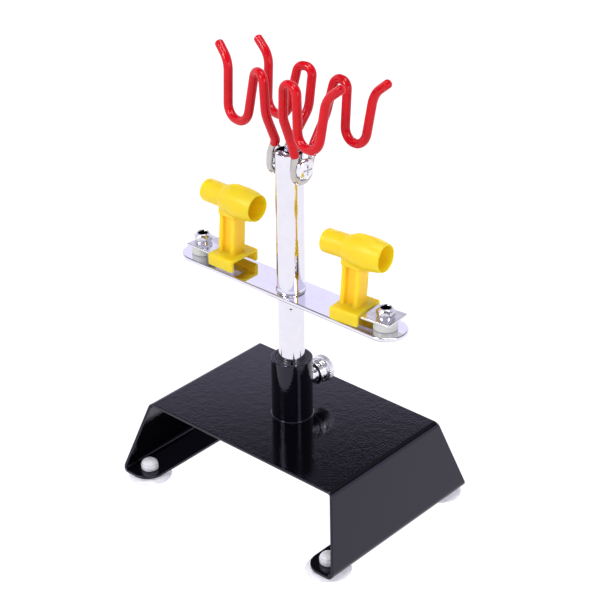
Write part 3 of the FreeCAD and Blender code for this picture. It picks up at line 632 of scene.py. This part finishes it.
# --- base
class STAND_OT_base(bpy.types.Operator):
    """Bends the base plate out of one sheet"""

    bl_idname = "stand.base"
    bl_label = "Base plate"

    def execute(self, context):
        sizes = context.scene.stand_sizes
        top, foot = BASE_HIGH.z, BASE_LOW.z
        deck, out, inner = 75.0 * MM, 88.5 * MM, 64.5 * MM
        narrow, wide, turn = 50.0 * MM, BASE_HIGH.y, 11.5 * MM
        points, faces = [], []

        def row(x, half, z):
            points.extend([(x, -half, z), (x, half, z)])
            return len(points) - 2

        left_top, right_top = row(-deck, narrow, top), row(deck, narrow, top)
        left_low, right_low = row(-out, wide, foot), row(out, wide, foot)
        faces.append((left_top, right_top, right_top + 1, left_top + 1))
        faces.append((right_top, right_low, right_low + 1, right_top + 1))
        faces.append((left_low, left_top, left_top + 1, left_low + 1))
        for sx, low in ((1, right_low), (-1, left_low)):
            loop = [low]
            for sy in (-1, 1):
                steps = range(9) if sy < 0 else reversed(range(9))
                for k in steps:
                    angle = pi / 2 * k / 8
                    x = inner + turn - turn * sin(angle)
                    y = sy * (wide - turn + turn * cos(angle))
                    loop.append(len(points))
                    points.append((sx * x, y, foot))
            loop.append(low + 1)
            faces.append(tuple(loop if sx > 0 else reversed(loop)))
        plate = cage("bent_base_plate", points, faces)
        slope = atan2(top - foot, out - deck)
        top_reach = sizes.bend_radius * tan(slope / 2)
        low_reach = sizes.bend_radius * tan((pi - slope) / 2)
        weight = plate.data.attributes.new("bevel_weight_edge", "FLOAT", "EDGE")
        for edge in plate.data.edges:
            pair = {edge.vertices[0], edge.vertices[1]}
            if pair in ({left_top, left_top + 1}, {right_top, right_top + 1}):
                weight.data[edge.index].value = top_reach / low_reach
            elif pair in ({left_low, left_low + 1}, {right_low, right_low + 1}):
                weight.data[edge.index].value = 1.0
        smooth(plate)
        add_step(plate, "BEVEL", width=low_reach, segments=10, limit_method="WEIGHT")
        add_step(plate, "SOLIDIFY", thickness=sizes.sheet, offset=-1.0, use_even_offset=True)
        round_edges(plate, sizes.sheet_edge, 3, CUT_ANGLE)
        hand_over(plate, "base", powder_coat(), "base_plate")
        return {"FINISHED"}


class STAND_OT_feet(bpy.types.Operator):
    """Turns the four clear suction feet"""

    bl_idname = "stand.feet"
    bl_label = "Suction feet"

    def execute(self, context):
        profile = [
            (0.0, 11.5), (1.5, 11.42), (2.8, 11.05), (3.8, 10.5), (4.7, 9.75), (5.15, 9.1), (4.7, 8.9),
            (4.6, 8.7), (4.7, 8.5), (5.35, 8.35), (5.5, 8.0), (5.5, 5.4), (5.2, 5.0), (4.0, 5.0),
            (4.0, 3.0), (6.8, 2.98), (8.6, 2.7), (10.6, 2.0), (12.4, 1.2), (13.6, 0.75), (13.8, 0.45),
            (13.6, 0.1), (13.0, 0.0), (12.4, 0.15), (9.4, 1.0), (6.2, 1.5), (3.4, 1.65), (0.0, 1.7),
        ]
        clear = moulded_plastic(
            "clear_soft_cup", (0.97, 0.965, 1.0), (0.90, 0.90, 0.95), 0.05, 0.16, 420.0, 0.00004,
            (0.7, (0.004, 0.004, 0.0045), 1.0), 0.3, 0.5,
        )
        for name in ("foot_front_left", "foot_front_right", "foot_rear_left", "foot_rear_right"):
            low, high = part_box(name)
            foot = turn_profile(name + "_cup", profile, steps=64)
            middle = (low + high) / 2
            settle(foot, Matrix.Translation((middle.x, middle.y, 0.0)))
            even_shading(foot)
            hand_over(foot, "base", clear, name)
        return {"FINISHED"}


class STAND_OT_collar(bpy.types.Operator):
    """Makes the collar with its weld and the split bush inside it"""

    bl_idname = "stand.collar"
    bl_label = "Collar and bush"

    def execute(self, context):
        sizes = context.scene.stand_sizes
        top, foot = COLLAR_HIGH.z / MM, COLLAR_LOW.z / MM
        weld = COLLAR_HIGH.x / MM
        profile = [
            (10.2, top), (12.7, top), (12.7, foot + 1.0), (12.95, foot + 0.75), (13.3, foot + 0.55),
            (weld - 0.1, foot + 0.3), (weld, foot), (10.2, foot),
        ]
        collar = turn_profile("collar", profile, closed=True, steps=96)
        round_edges(collar, sizes.rim_edge, 3, CUT_ANGLE)
        hand_over(collar, "base", powder_coat(), "collar_tube")

        wall, slit = 2.1 * MM, 1.4 * MM
        radius = BUSH_HIGH.x
        start = SLIT_ANGLE + slit / 2 / radius
        points = [
            (radius * cos(start), radius * sin(start), z) for z in (BUSH_HIGH.z, BUSH_LOW.z)
        ]
        bush = cage("split_bush", points, edges=[(0, 1)])
        add_step(
            bush, "SCREW", steps=90, render_steps=90, angle=2 * pi - slit / radius,
            use_merge_vertices=False, use_smooth_shade=True,
        )
        add_step(bush, "SOLIDIFY", thickness=wall, offset=-1.0, use_even_offset=True)
        round_edges(bush, 0.3 * MM, 2, CUT_ANGLE)
        dark = moulded_plastic(
            "black_bush_plastic", (0.012, 0.012, 0.013), (0.022, 0.021, 0.022), 0.22, 0.4, 900.0, 0.00003,
            (0.0, (0.001, 0.001, 0.001), 1.0), 0.0, 0.3,
        )
        hand_over(bush, "bush", dark, "collar_bush")
        return {"FINISHED"}


class STAND_OT_thumb_screw(bpy.types.Operator):
    """Turns the thumb screw and knurls its head"""

    bl_idname = "stand.thumb_screw"
    bl_label = "Thumb screw"

    def execute(self, context):
        knurls = context.scene.stand_sizes.knurls
        tip, end = SCREW_LOW.y / MM, SCREW_HIGH.y / MM
        knob_start = end - KNOB_LENGTH
        spool = [
            (0.0, knob_start + 0.4), (6.4, knob_start + 0.4), (6.4, knob_start - 0.4), (6.9, 24.9),
            (7.35, 24.3), (7.4, 23.6), (7.1, 22.9), (6.6, 22.3), (6.5, 21.8), (6.9, 21.3), (7.4, 20.7),
            (7.4, 19.9), (6.9, 19.3), (5.4, 19.1), (5.0, 18.6), (5.0, 16.9), (4.7, 16.6), (4.7, 16.2),
            (5.0, 15.9), (5.0, 13.5), (4.7, 13.1), (3.0, 13.05), (3.0, tip + 0.4), (2.6, tip), (0.0, tip),
        ]
        turn = Matrix.Translation((0.0, 0.0, (SCREW_LOW.z + SCREW_HIGH.z) / 2))
        turn = turn @ Matrix.Rotation(radians(-90), 4, "X")
        shank = turn_profile("thumb_screw_spool", spool, steps=72)
        settle(shank, turn)
        even_shading(shank)

        def knurled(angle, radius):
            if radius < KNURL_FROM:
                return radius
            return radius - KNURL_DEPTH * (0.5 - 0.5 * cos(knurls * angle))

        profile = [
            (0.05, end - 0.5), (5.2, end - 0.5), (5.7, end - 0.35), (6.1, end - 0.02), (7.6, end),
            (8.05, end - 0.15), (8.5, end - 0.45), (8.7, end - 0.75), (8.7, knob_start + 0.75),
            (8.5, knob_start + 0.4), (8.05, knob_start + 0.12), (7.5, knob_start), (0.05, knob_start),
        ]
        knob = ringed("thumb_screw_knob", profile, knurled, knurls * 6, False)
        settle(knob, turn)
        even_shading(knob, 40)
        satin = bright_metal(
            "satin_plated_knob", (0.96, 0.96, 0.97), (0.84, 0.84, 0.86), 0.24, 0.36,
            (700.0, 700.0, 700.0), 0.00001,
        )
        hand_over(shank, "thumb_screw", plated_finish(), "thumb_screw")
        hand_over(knob, "thumb_screw", satin, "thumb_screw")
        return {"FINISHED"}


# --- column and bar
class STAND_OT_column(bpy.types.Operator):
    """Turns the two chrome tubes and dents the lower one"""

    bl_idname = "stand.column"
    bl_label = "Column"

    def execute(self, context):
        sizes = context.scene.stand_sizes
        chrome = chrome_finish("tube_chrome", (1100.0, 1100.0, 9.0))
        top, foot = LOWER_HIGH.z / MM, LOWER_LOW.z / MM
        rows = [DENT_HEIGHT + 0.3 * (7 - k) for k in range(15)]
        profile = [(6.7, top), (7.7, top), (LOWER_RADIUS, top - 0.3)]
        profile += [(LOWER_RADIUS, z) for z in rows]
        profile += [(LOWER_RADIUS, foot + 0.3), (7.7, foot), (6.7, foot)]
        lower = turn_profile("lower_tube", profile, closed=True, steps=160)
        settle(lower)
        outward = Vector((cos(SLIT_ANGLE), sin(SLIT_ANGLE), 0.0))
        dent = (outward * LOWER_RADIUS + Vector((0.0, 0.0, DENT_HEIGHT))) * MM
        for vertex in lower.data.vertices:
            near = (vertex.co - dent).length / (DENT_RADIUS * MM)
            if near < 1.0 and vertex.co.xy.length > (LOWER_RADIUS - 0.1) * MM:
                vertex.co -= outward * sizes.dimple_depth * (1.0 - near * near) ** 2
        even_shading(lower)
        hand_over(lower, "column", chrome, "lower_column_tube")

        top, foot = UPPER_HIGH.z / MM, UPPER_LOW.z / MM
        profile = [
            (8.02, top - 0.1), (8.14, top), (8.34, top), (8.5, top - 0.16), (8.5, foot + 2.4),
            (8.56, foot + 1.9), (8.72, foot + 1.45), (8.95, foot + 1.05), (9.08, foot + 0.6),
            (9.08, foot + 0.2), (8.9, foot), (8.02, foot),
        ]
        upper = turn_profile("upper_tube", profile, closed=True, steps=128)
        even_shading(upper)
        hand_over(upper, "column", chrome, "upper_column_tube")
        return {"FINISHED"}


class STAND_OT_cross_bar(bpy.types.Operator):
    """Makes the polished cross bar with its round ends"""

    bl_idname = "stand.cross_bar"
    bl_label = "Cross bar"

    def execute(self, context):
        radius = BAR_HIGH.y
        straight = BAR_HIGH.x - radius
        outline = []
        for sx, first in ((1, -90.0), (-1, 90.0)):
            for k in range(33):
                angle = radians(first + 180.0 * k / 32)
                outline.append((sx * straight + radius * cos(angle), radius * sin(angle)))
        count = len(outline)
        points = [(x, y, BAR_HIGH.z) for x, y in outline] + [(x, y, BAR_LOW.z) for x, y in outline]
        faces = [tuple(range(count)), tuple(reversed(range(count, 2 * count)))]
        faces += [(i, i + count, (i + 1) % count + count, (i + 1) % count) for i in range(count)]
        bar = cage("polished_cross_bar", points, faces)
        smooth(bar)
        round_edges(bar, context.scene.stand_sizes.bar_edge, 5, CUT_ANGLE)
        chrome = chrome_finish("bar_chrome", (14.0, 1000.0, 1000.0))
        hand_over(bar, "column", chrome, "cross_bar")
        return {"FINISHED"}


# --- hooks
class STAND_OT_hook_bolt(bpy.types.Operator):
    """Makes the hook bolt with its cross recess and the barrel nut on the far side"""

    bl_idname = "stand.hook_bolt"
    bl_label = "Hook bolt"

    def execute(self, context):
        plate = plated_finish()
        start, face = 13.1, 16.1
        neck, mouth = 2.2, 8.6
        head = [
            (0.0, face), (1.8, face - 0.03), (3.4, face - 0.22), (4.7, face - 0.62), (5.6, face - 1.15),
            (6.1, face - 1.75), (6.3, face - 2.4), (6.3, start + 0.25), (6.05, start),
        ]
        for name, sign, node, radius, end in (
            ("hook_bolt_cross_head", 1, "hook_bolt", 3.0, -11.0),
            ("barrel_nut_head", -1, "hook_barrel_nut", 3.5, -4.0),
        ):
            step = max(end + 0.4, 0.3 - mouth)
            shank = [
                (neck, start), (neck, mouth), (radius, mouth), (radius, step), (neck, step),
                (neck, end), (0.0, end),
            ]
            bolt = turn_profile(name, head + shank, steps=72)
            settle(bolt)
            if sign > 0:
                recess = bmesh.new()
                for w, h in ((1.3, 6.4), (6.4, 1.3)):
                    add_block(recess, (-w / 2, -h / 2, face - 1.6), (w / 2, h / 2, face + 1.0), 0.25)
                cut_away(bolt, shells_object("recess", recess))
            aim = Matrix.Translation((0.0, 0.0, HOOK_HEIGHT + BOLT_RISE)) @ Matrix.Rotation(HOOK_YAW, 4, "Z")
            bolt.data.transform(aim @ Matrix.Rotation(sign * radians(90), 4, "Y"))
            bolt.data.set_sharp_from_angle(angle=radians(40))
            hand_over(bolt, "column", plate, node)
        return {"FINISHED"}


def leg_knots(bends):
    """Knots of one hook leg: (place, handle before, handle after), straight runs joined by arcs."""
    corners = [Vector(b[:3]) * MM for b in bends]
    knots = [[corners[0], corners[0], None]]
    for i in range(1, len(corners) - 1):
        back = corners[i - 1] - corners[i]
        ahead = corners[i + 1] - corners[i]
        room = 0.49 * min(back.length, ahead.length)
        back.normalize()
        ahead.normalize()
        half = back.angle(ahead) / 2
        reach = min(bends[i][3] * MM / tan(half), room)
        grip = 4 / 3 * tan((pi - 2 * half) / 4) * reach * tan(half)
        enter = corners[i] + back * reach
        leave = corners[i] + ahead * reach
        knots.append([enter, None, enter - back * grip])
        knots.append([leave, leave - ahead * grip, None])
    knots.append([corners[-1], None, corners[-1]])
    for first, second in zip(knots[0::2], knots[1::2]):
        run = second[0] - first[0]
        first[2] = first[0] + run / 3
        second[1] = second[0] - run / 3
    return knots


def seat_hook(side, sign, place):
    """From a leg's own distances (out, sideways, up) to the frame."""
    tilt = HOOK_TILT[side]
    y0 = sign * place.y
    x = place.x if side == "east" else -place.x
    y = y0 * cos(tilt) + place.z * sin(tilt)
    z = place.z * cos(tilt) - y0 * sin(tilt)
    turned = Matrix.Rotation(HOOK_YAW, 3, "Z") @ Vector((x, y, 0.0))
    return Vector((turned.x, turned.y, HOOK_HEIGHT + z))


def round_bar(name, knots, radius, smoothness):
    """A round bar on a Bezier line: knots are (place, handle before, handle after, share of the radius)."""
    line = bpy.data.curves.new(name, "CURVE")
    line.dimensions = "3D"
    line.bevel_depth = radius
    line.bevel_resolution = smoothness
    line.resolution_u = line.render_resolution_u = 10
    line.use_fill_caps = True
    line.twist_mode = "MINIMUM"
    spline = line.splines.new("BEZIER")
    spline.bezier_points.add(len(knots) - 1)
    spline.use_smooth = True
    for knot, (place, before, after, share) in zip(spline.bezier_points, knots):
        knot.handle_left_type = knot.handle_right_type = "FREE"
        knot.co, knot.handle_left, knot.handle_right, knot.radius = place, before, after, share
    return add_object(name, line)


def straight_knot(place, way, reach, share):
    """A knot on a straight run."""
    return (place, place - way * reach, place + way * reach, share)


def lip_run(side, knots):
    """Number of the knot that ends the straight run on which the coating starts."""
    return next(i for i in range(1, len(knots), 2) if knots[i][0].z > COAT_START[side])


def coated_leg(side, sign, sizes):
    """Knots of the coating on one leg, from its lip above the bolt to its rounded tip."""
    knots = leg_knots(HOOK_BENDS[side])
    end = lip_run(side, knots)
    before, after = knots[end - 1][0], knots[end][0]
    run = after - before
    start = before + run * max(0.0, (COAT_START[side] - before.z) / run.z)
    way = run.normalized()
    line = []
    for share_along, share in LIP_TAPER:
        line.append(straight_knot(start + way * share_along * LIP_LENGTH, way, 0.05 * MM, share))
    for place, left, right in knots[end:-1]:
        line.append((place, left, right, 1.0))
    tip = knots[-1][0]
    way = (tip - knots[-2][0]).normalized()
    for share_along, share in TIP_TAPER:
        line.append(straight_knot(tip + way * sizes.coat_radius * share_along, way, 0.05 * MM, share))
    first = line[len(LIP_TAPER)]
    line[len(LIP_TAPER)] = (first[0], first[0] - (first[0] - start) * 0.25, first[2], first[3])
    return [(*(seat_hook(side, sign, p) for p in knot[:3]), knot[3]) for knot in line]


def bare_wire(side):
    """Knots of the wire that shows: up into both coatings and round under the bolt."""
    knots = leg_knots(HOOK_BENDS[side])
    knots = knots[:lip_run(side, knots) + 1]
    grip = LOOP_RADIUS * QUARTER_GRIP
    down = Vector((0.0, 0.0, grip))
    rear = [(place, right, left) for place, left, right in reversed(knots[1:])]
    line = [(*(seat_hook(side, 1, p) for p in knot), 1.0) for knot in rear]
    level = Vector((LOOP_OFFSET, LOOP_RADIUS, 0.0))
    bottom = Vector((LOOP_OFFSET, 0.0, -LOOP_RADIUS))
    sideways = Vector((0.0, grip, 0.0))
    for sign, spots in (
        (1, (level, level + down * 0.5, level - down)),
        (1, (bottom, bottom + sideways, bottom - sideways)),
        (-1, (level, level - down, level + down * 0.5)),
    ):
        line.append((*(seat_hook(side, sign, p) for p in spots), 1.0))
    line += [(*(seat_hook(side, -1, p) for p in knot), 1.0) for knot in knots[1:]]
    return line


class STAND_OT_hooks(bpy.types.Operator):
    """Bends the hook wires and dips their legs in red vinyl"""

    bl_idname = "stand.hooks"
    bl_label = "Wire hooks"

    def execute(self, context):
        sizes = context.scene.stand_sizes
        red = context.scene.stand_colours.vinyl_red
        vinyl = moulded_plastic(
            "dipped_red_vinyl", red, scaled(red, (0.62, 0.5, 0.6)), 0.05, 0.1, 260.0, 0.00008,
            (0.0, (0.002, 0.0002, 0.0002), 1.0), 0.0, 0.24,
        )
        nickel = bright_metal(
            "drawn_nickel_wire", (0.66, 0.64, 0.61), (0.36, 0.34, 0.31), 0.05, 0.12,
            (400.0, 900.0, 60.0), 0.00002,
        )
        for side, _ in SIDES:
            wire = round_bar(side + "_bent_wire", bare_wire(side), sizes.wire_radius, 8)
            hand_over(wire, side + "_hook", nickel, side + "_hook_wire")
            for leg, sign in (("front", -1), ("rear", 1)):
                name = "%s_%s_dip_coat" % (side, leg)
                coat = round_bar(name, coated_leg(side, sign, sizes), sizes.coat_radius, 10)
                node = "%s_hook_%s_coating" % (side, leg)
                hand_over(coat, side + "_hook", vinyl, node)
        return {"FINISHED"}


# --- clamps and rests
def hexagon_radius(flats):
    """Radius round a hexagon whose corners are cut back to a ring's own radius."""

    def at(angle, limit):
        part = radians(60)
        lean = (angle + part / 2) % part - part / 2
        return min(flats / 2 / cos(lean), limit)

    return at


def seat_on_bolt(obj, sx, low):
    """Settles a piece on the axis of its end bolt, at the height where its node starts."""
    settle(obj, Matrix.Translation((sx * BOLT_X, 0.0, low.z)))


def clamp_place(side, sx):
    """Place and turn of a clamp plate and its rest about their end bolt."""
    return Matrix.Translation((sx * BOLT_X, 0.0, 0.0)) @ Matrix.Rotation(REST_YAW[side], 4, "Z")


class STAND_OT_clamps(bpy.types.Operator):
    """Makes the spacers, end bolts, lock nuts and clamp plates at both ends of the bar"""

    bl_idname = "stand.clamps"
    bl_label = "Bar end clamps"

    def execute(self, context):
        milky = context.scene.stand_colours.nylon
        nylon = moulded_plastic(
            "milky_nylon", milky, scaled(milky, (0.86, 0.88, 0.84)), 0.25, 0.42, 700.0, 0.00003,
            (0.45, (0.002, 0.002, 0.0016), 1.0), 0.0, 0.35,
        )
        zinc = bright_metal(
            "bright_zinc", (0.82, 0.82, 0.84), (0.62, 0.61, 0.62), 0.16, 0.3,
            (900.0, 160.0, 900.0), 0.000015,
        )
        satin = bright_metal(
            "satin_zinc_nut", (0.74, 0.74, 0.77), (0.5, 0.5, 0.52), 0.16, 0.28,
            (300.0, 300.0, 300.0), 0.00001,
        )
        # Near-black metal on the bolt's end and in the nut's bore: painted shade of the hole in the domed
        # nut.
        painted_hole_shade = bright_metal(
            "nut_hole_painted_shade", (0.05, 0.055, 0.065), (0.02, 0.02, 0.025), 0.25, 0.5,
            (900.0, 900.0, 90.0), 0.00002,
        )
        hexed = hexagon_radius(NUT_FLATS)
        for side, sx in SIDES:
            low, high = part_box(side + "_spacer")
            height = (high.z - low.z) / MM
            rim = (high.x - low.x) / 2 / MM
            spacer = turn_profile(
                side + "_nylon_spacer", [(3.2, height), (rim, height), (rim, 0.0), (3.2, 0.0)], True, 72
            )
            seat_on_bolt(spacer, sx, low)
            round_edges(spacer, 0.5 * MM, 3, CUT_ANGLE)
            hand_over(spacer, "column", nylon, side + "_spacer")

            low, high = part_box(side + "_end_bolt")
            span = (high.z - low.z) / MM
            tip = low.z + (span - 3.6) * MM
            bolt_rings = [
                (2.0, span - 2.8), (2.9, span - 3.4), (2.9, 4.0), (5.05, 4.0), (5.2, 3.95),
                (5.8, 3.6), (5.8, 0.5), (5.3, 0.2), (4.6, 0.0),
            ]
            bolt = ringed(side + "_hex_bolt", bolt_rings, hexed, 72, False)
            seat_on_bolt(bolt, sx, low)
            bolt.data.set_sharp_from_angle(angle=HEXAGON_SHARP)
            hand_over(bolt, "column", zinc, side + "_end_bolt")
            # The bolt's end, which shows through the nut's hole, gets the painted shade.
            bolt.data.materials.append(painted_hole_shade)
            for face in bolt.data.polygons:
                face.material_index = 1 if face.center.z > tip else 0

            low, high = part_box(side + "_lock_nut")
            nut_rings = [
                (3.05, 4.6), (3.1, 5.2), (3.3, 5.5), (3.65, 5.55), (3.95, 5.4), (4.3, 4.7), (5.0, 4.0),
                (5.8, 3.3), (5.8, 1.4), (5.2, 1.1), (4.8, 1.05), (4.8, 0.85), (4.98, 0.8), (4.98, 0.0),
                (3.05, 0.0),
            ]
            nut = ringed(side + "_domed_lock_nut", nut_rings, hexed, 96, True)
            seat_on_bolt(nut, sx, low)
            nut.data.set_sharp_from_angle(angle=HEXAGON_SHARP)
            hand_over(nut, "column", satin, side + "_lock_nut")
            # The nut's bore gets the same painted shade.
            nut.data.materials.append(painted_hole_shade)
            for face in nut.data.polygons:
                reach = (face.center - Vector((sx * BOLT_X, 0.0, face.center.z))).length
                face.material_index = 1 if reach < THREAD_RADIUS else 0

            low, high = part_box(side + "_clamp_plate")
            outer, half = sx * PLATE_OUTER[side], PLATE_WIDTH / 2
            near, far = sorted((outer, outer - sx * PLATE_LENGTH))
            corners = ((near, -half), (far, -half), (far, half), (near, half))
            points = [(x, y, z) for z in (low.z, high.z) for x, y in corners]
            faces = [(3, 2, 1, 0), (4, 5, 6, 7), (0, 1, 5, 4), (1, 2, 6, 5), (2, 3, 7, 6), (3, 0, 4, 7)]
            plate = cage(side + "_clamp_strip", points, faces)
            plate.data.transform(clamp_place(side, sx))
            smooth(plate)
            round_edges(plate, 0.4 * MM, 3, CUT_ANGLE)
            hand_over(plate, side + "_rest", zinc, side + "_clamp_plate")
        return {"FINISHED"}


def lathe_shell(body, profile, centre_height):
    """Adds a closed shape turned about X to a body of shells, from (along, radius) points in millimetres."""
    columns, rings = 64, []
    for along, radius in profile:
        ring = []
        for c in range(columns):
            angle = 2 * pi * c / columns
            place = (along, radius * cos(angle), centre_height + radius * sin(angle))
            ring.append(body.verts.new(Vector(place) * MM))
        rings.append(ring)
    for first, second in zip(rings, rings[1:]):
        for c in range(columns):
            d = (c + 1) % columns
            body.faces.new((first[c], first[d], second[d], second[c]))
    body.faces.new(list(reversed(rings[0])))
    body.faces.new(rings[-1])


class STAND_OT_rests(bpy.types.Operator):
    """Moulds the two yellow rests"""

    bl_idname = "stand.rests"
    bl_label = "Airbrush rests"

    def execute(self, context):
        sizes = context.scene.stand_sizes
        yellow = context.scene.stand_colours.plastic_yellow
        plastic = moulded_plastic(
            "soft_yellow_plastic", yellow, scaled(yellow, (1.0, 0.92, 1.0)), 0.28, 0.45, 500.0, 0.00003,
            (0.9, (0.008, 0.006, 0.0012), 1.0), 0.22, 0.22,
        )
        for side, sx in SIDES:
            low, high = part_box(side + "_airbrush_rest")
            foot = low.z / MM
            body = bmesh.new()
            add_block(body, (-9.9, -12.1, 146.4), (9.9, 12.1, 148.8), 1.1)
            for sy in (-1, 1):
                wall = sorted((sy * 12.1, sy * 9.4))
                add_block(body, (-9.9, wall[0], foot), (9.9, wall[1], 148.2), 1.0)
            before = len(body.verts)
            add_block(body, (-5.6, -2.9, 147.6), (5.6, 2.9, REST_AXIS - 2.0), 0.3)
            for sx_rib in (-1, 1):
                rib = sorted((sx_rib * 3.2, sx_rib * 6.3))
                add_block(body, (rib[0], -5.4, 147.6), (rib[1], 5.4, REST_AXIS - 2.0), 0.9)
            add_block(body, (-7.0, -6.2, REST_AXIS - 10.2), (7.0, 6.2, REST_AXIS - 3.0), 1.4)
            body.verts.ensure_lookup_table()
            for vertex in body.verts[before:]:
                up = (vertex.co.z / MM - POST_FOOT) / (REST_AXIS - POST_FOOT)
                vertex.co.x += POST_LEAN * MM * (up - 0.5)
            outside = [
                (-21.0, 4.8), (-20.95, 5.6), (-20.6, 6.4), (-19.9, 7.0), (-19.0, 7.2), (-5.4, 7.2),
                (-4.2, 7.7), (-2.0, 8.5), (1.0, 9.2), (4.0, 9.7), (8.0, 10.0), (11.0, 9.95), (14.0, 9.7),
                (17.0, 9.25), (19.5, 8.75), (20.9, 8.45), (21.3, 8.1),
            ]
            lathe_shell(body, outside, REST_AXIS)
            hump = Matrix.Translation(Vector((7.0, 0.0, REST_AXIS + 7.2)) * MM)
            hump = hump @ Matrix.Diagonal((9.5 * MM, 3.4 * MM, 3.9 * MM, 1.0))
            bmesh.ops.create_uvsphere(body, u_segments=24, v_segments=12, radius=1.0, matrix=hump)
            rest = shells_object(side + "_moulded_rest", body)

            bore = bmesh.new()
            inside = [
                (-15.8, 4.0), (-15.4, 4.4), (0.0, 4.4), (0.6, 7.3), (1.0, 7.6), (20.4, 7.6), (22.5, 8.1),
            ]
            lathe_shell(bore, inside, REST_AXIS)
            inset = Matrix.Translation((-sx * REST_INSET[side], 0.0, 0.0))
            cut_away(rest, shells_object("bore", bore), clamp_place(side, sx) @ inset)
            add_step(rest, "REMESH", mode="VOXEL", voxel_size=sizes.rest_grain, use_smooth_shade=True)
            add_step(rest, "SMOOTH", factor=0.5, iterations=6)
            hand_over(rest, side + "_rest", plastic, side + "_airbrush_rest")
        return {"FINISHED"}


class STAND_PT_pieces(bpy.types.Panel):
    """Lists the stand's pieces in the order they are made"""

    bl_label = "Airbrush Stand"
    bl_idname = "STAND_PT_pieces"
    bl_space_type = "VIEW_3D"
    bl_region_type = "UI"
    bl_category = "Stand"

    def draw(self, context):
        layout = self.layout
        for operator in OPERATORS:
            layout.operator(operator.bl_idname)
        for group in (context.scene.stand_sizes, context.scene.stand_colours):
            for key in group.__annotations__:
                layout.prop(group, key)


OPERATORS = (
    STAND_OT_stage,
    STAND_OT_base,
    STAND_OT_feet,
    STAND_OT_collar,
    STAND_OT_thumb_screw,
    STAND_OT_column,
    STAND_OT_cross_bar,
    STAND_OT_hook_bolt,
    STAND_OT_hooks,
    STAND_OT_clamps,
    STAND_OT_rests,
)
CLASSES = (StandSizes, StandColours, *OPERATORS, STAND_PT_pieces)


def register():
    for cls in CLASSES:
        bpy.utils.register_class(cls)
    bpy.types.Scene.stand_sizes = PointerProperty(type=StandSizes)
    bpy.types.Scene.stand_colours = PointerProperty(type=StandColours)


def unregister():
    del bpy.types.Scene.stand_colours
    del bpy.types.Scene.stand_sizes
    for cls in reversed(CLASSES):
        bpy.utils.unregister_class(cls)


def main():
    """Builds the stage and every piece."""
    register()
    bpy.ops.stand.stage()
    bpy.ops.stand.base()
    bpy.ops.stand.feet()
    bpy.ops.stand.collar()
    bpy.ops.stand.thumb_screw()
    bpy.ops.stand.column()
    bpy.ops.stand.cross_bar()
    bpy.ops.stand.hook_bolt()
    bpy.ops.stand.hooks()
    bpy.ops.stand.clamps()
    bpy.ops.stand.rests()
    bpy.context.view_layer.update()


if __name__ == "__main__":
    main()
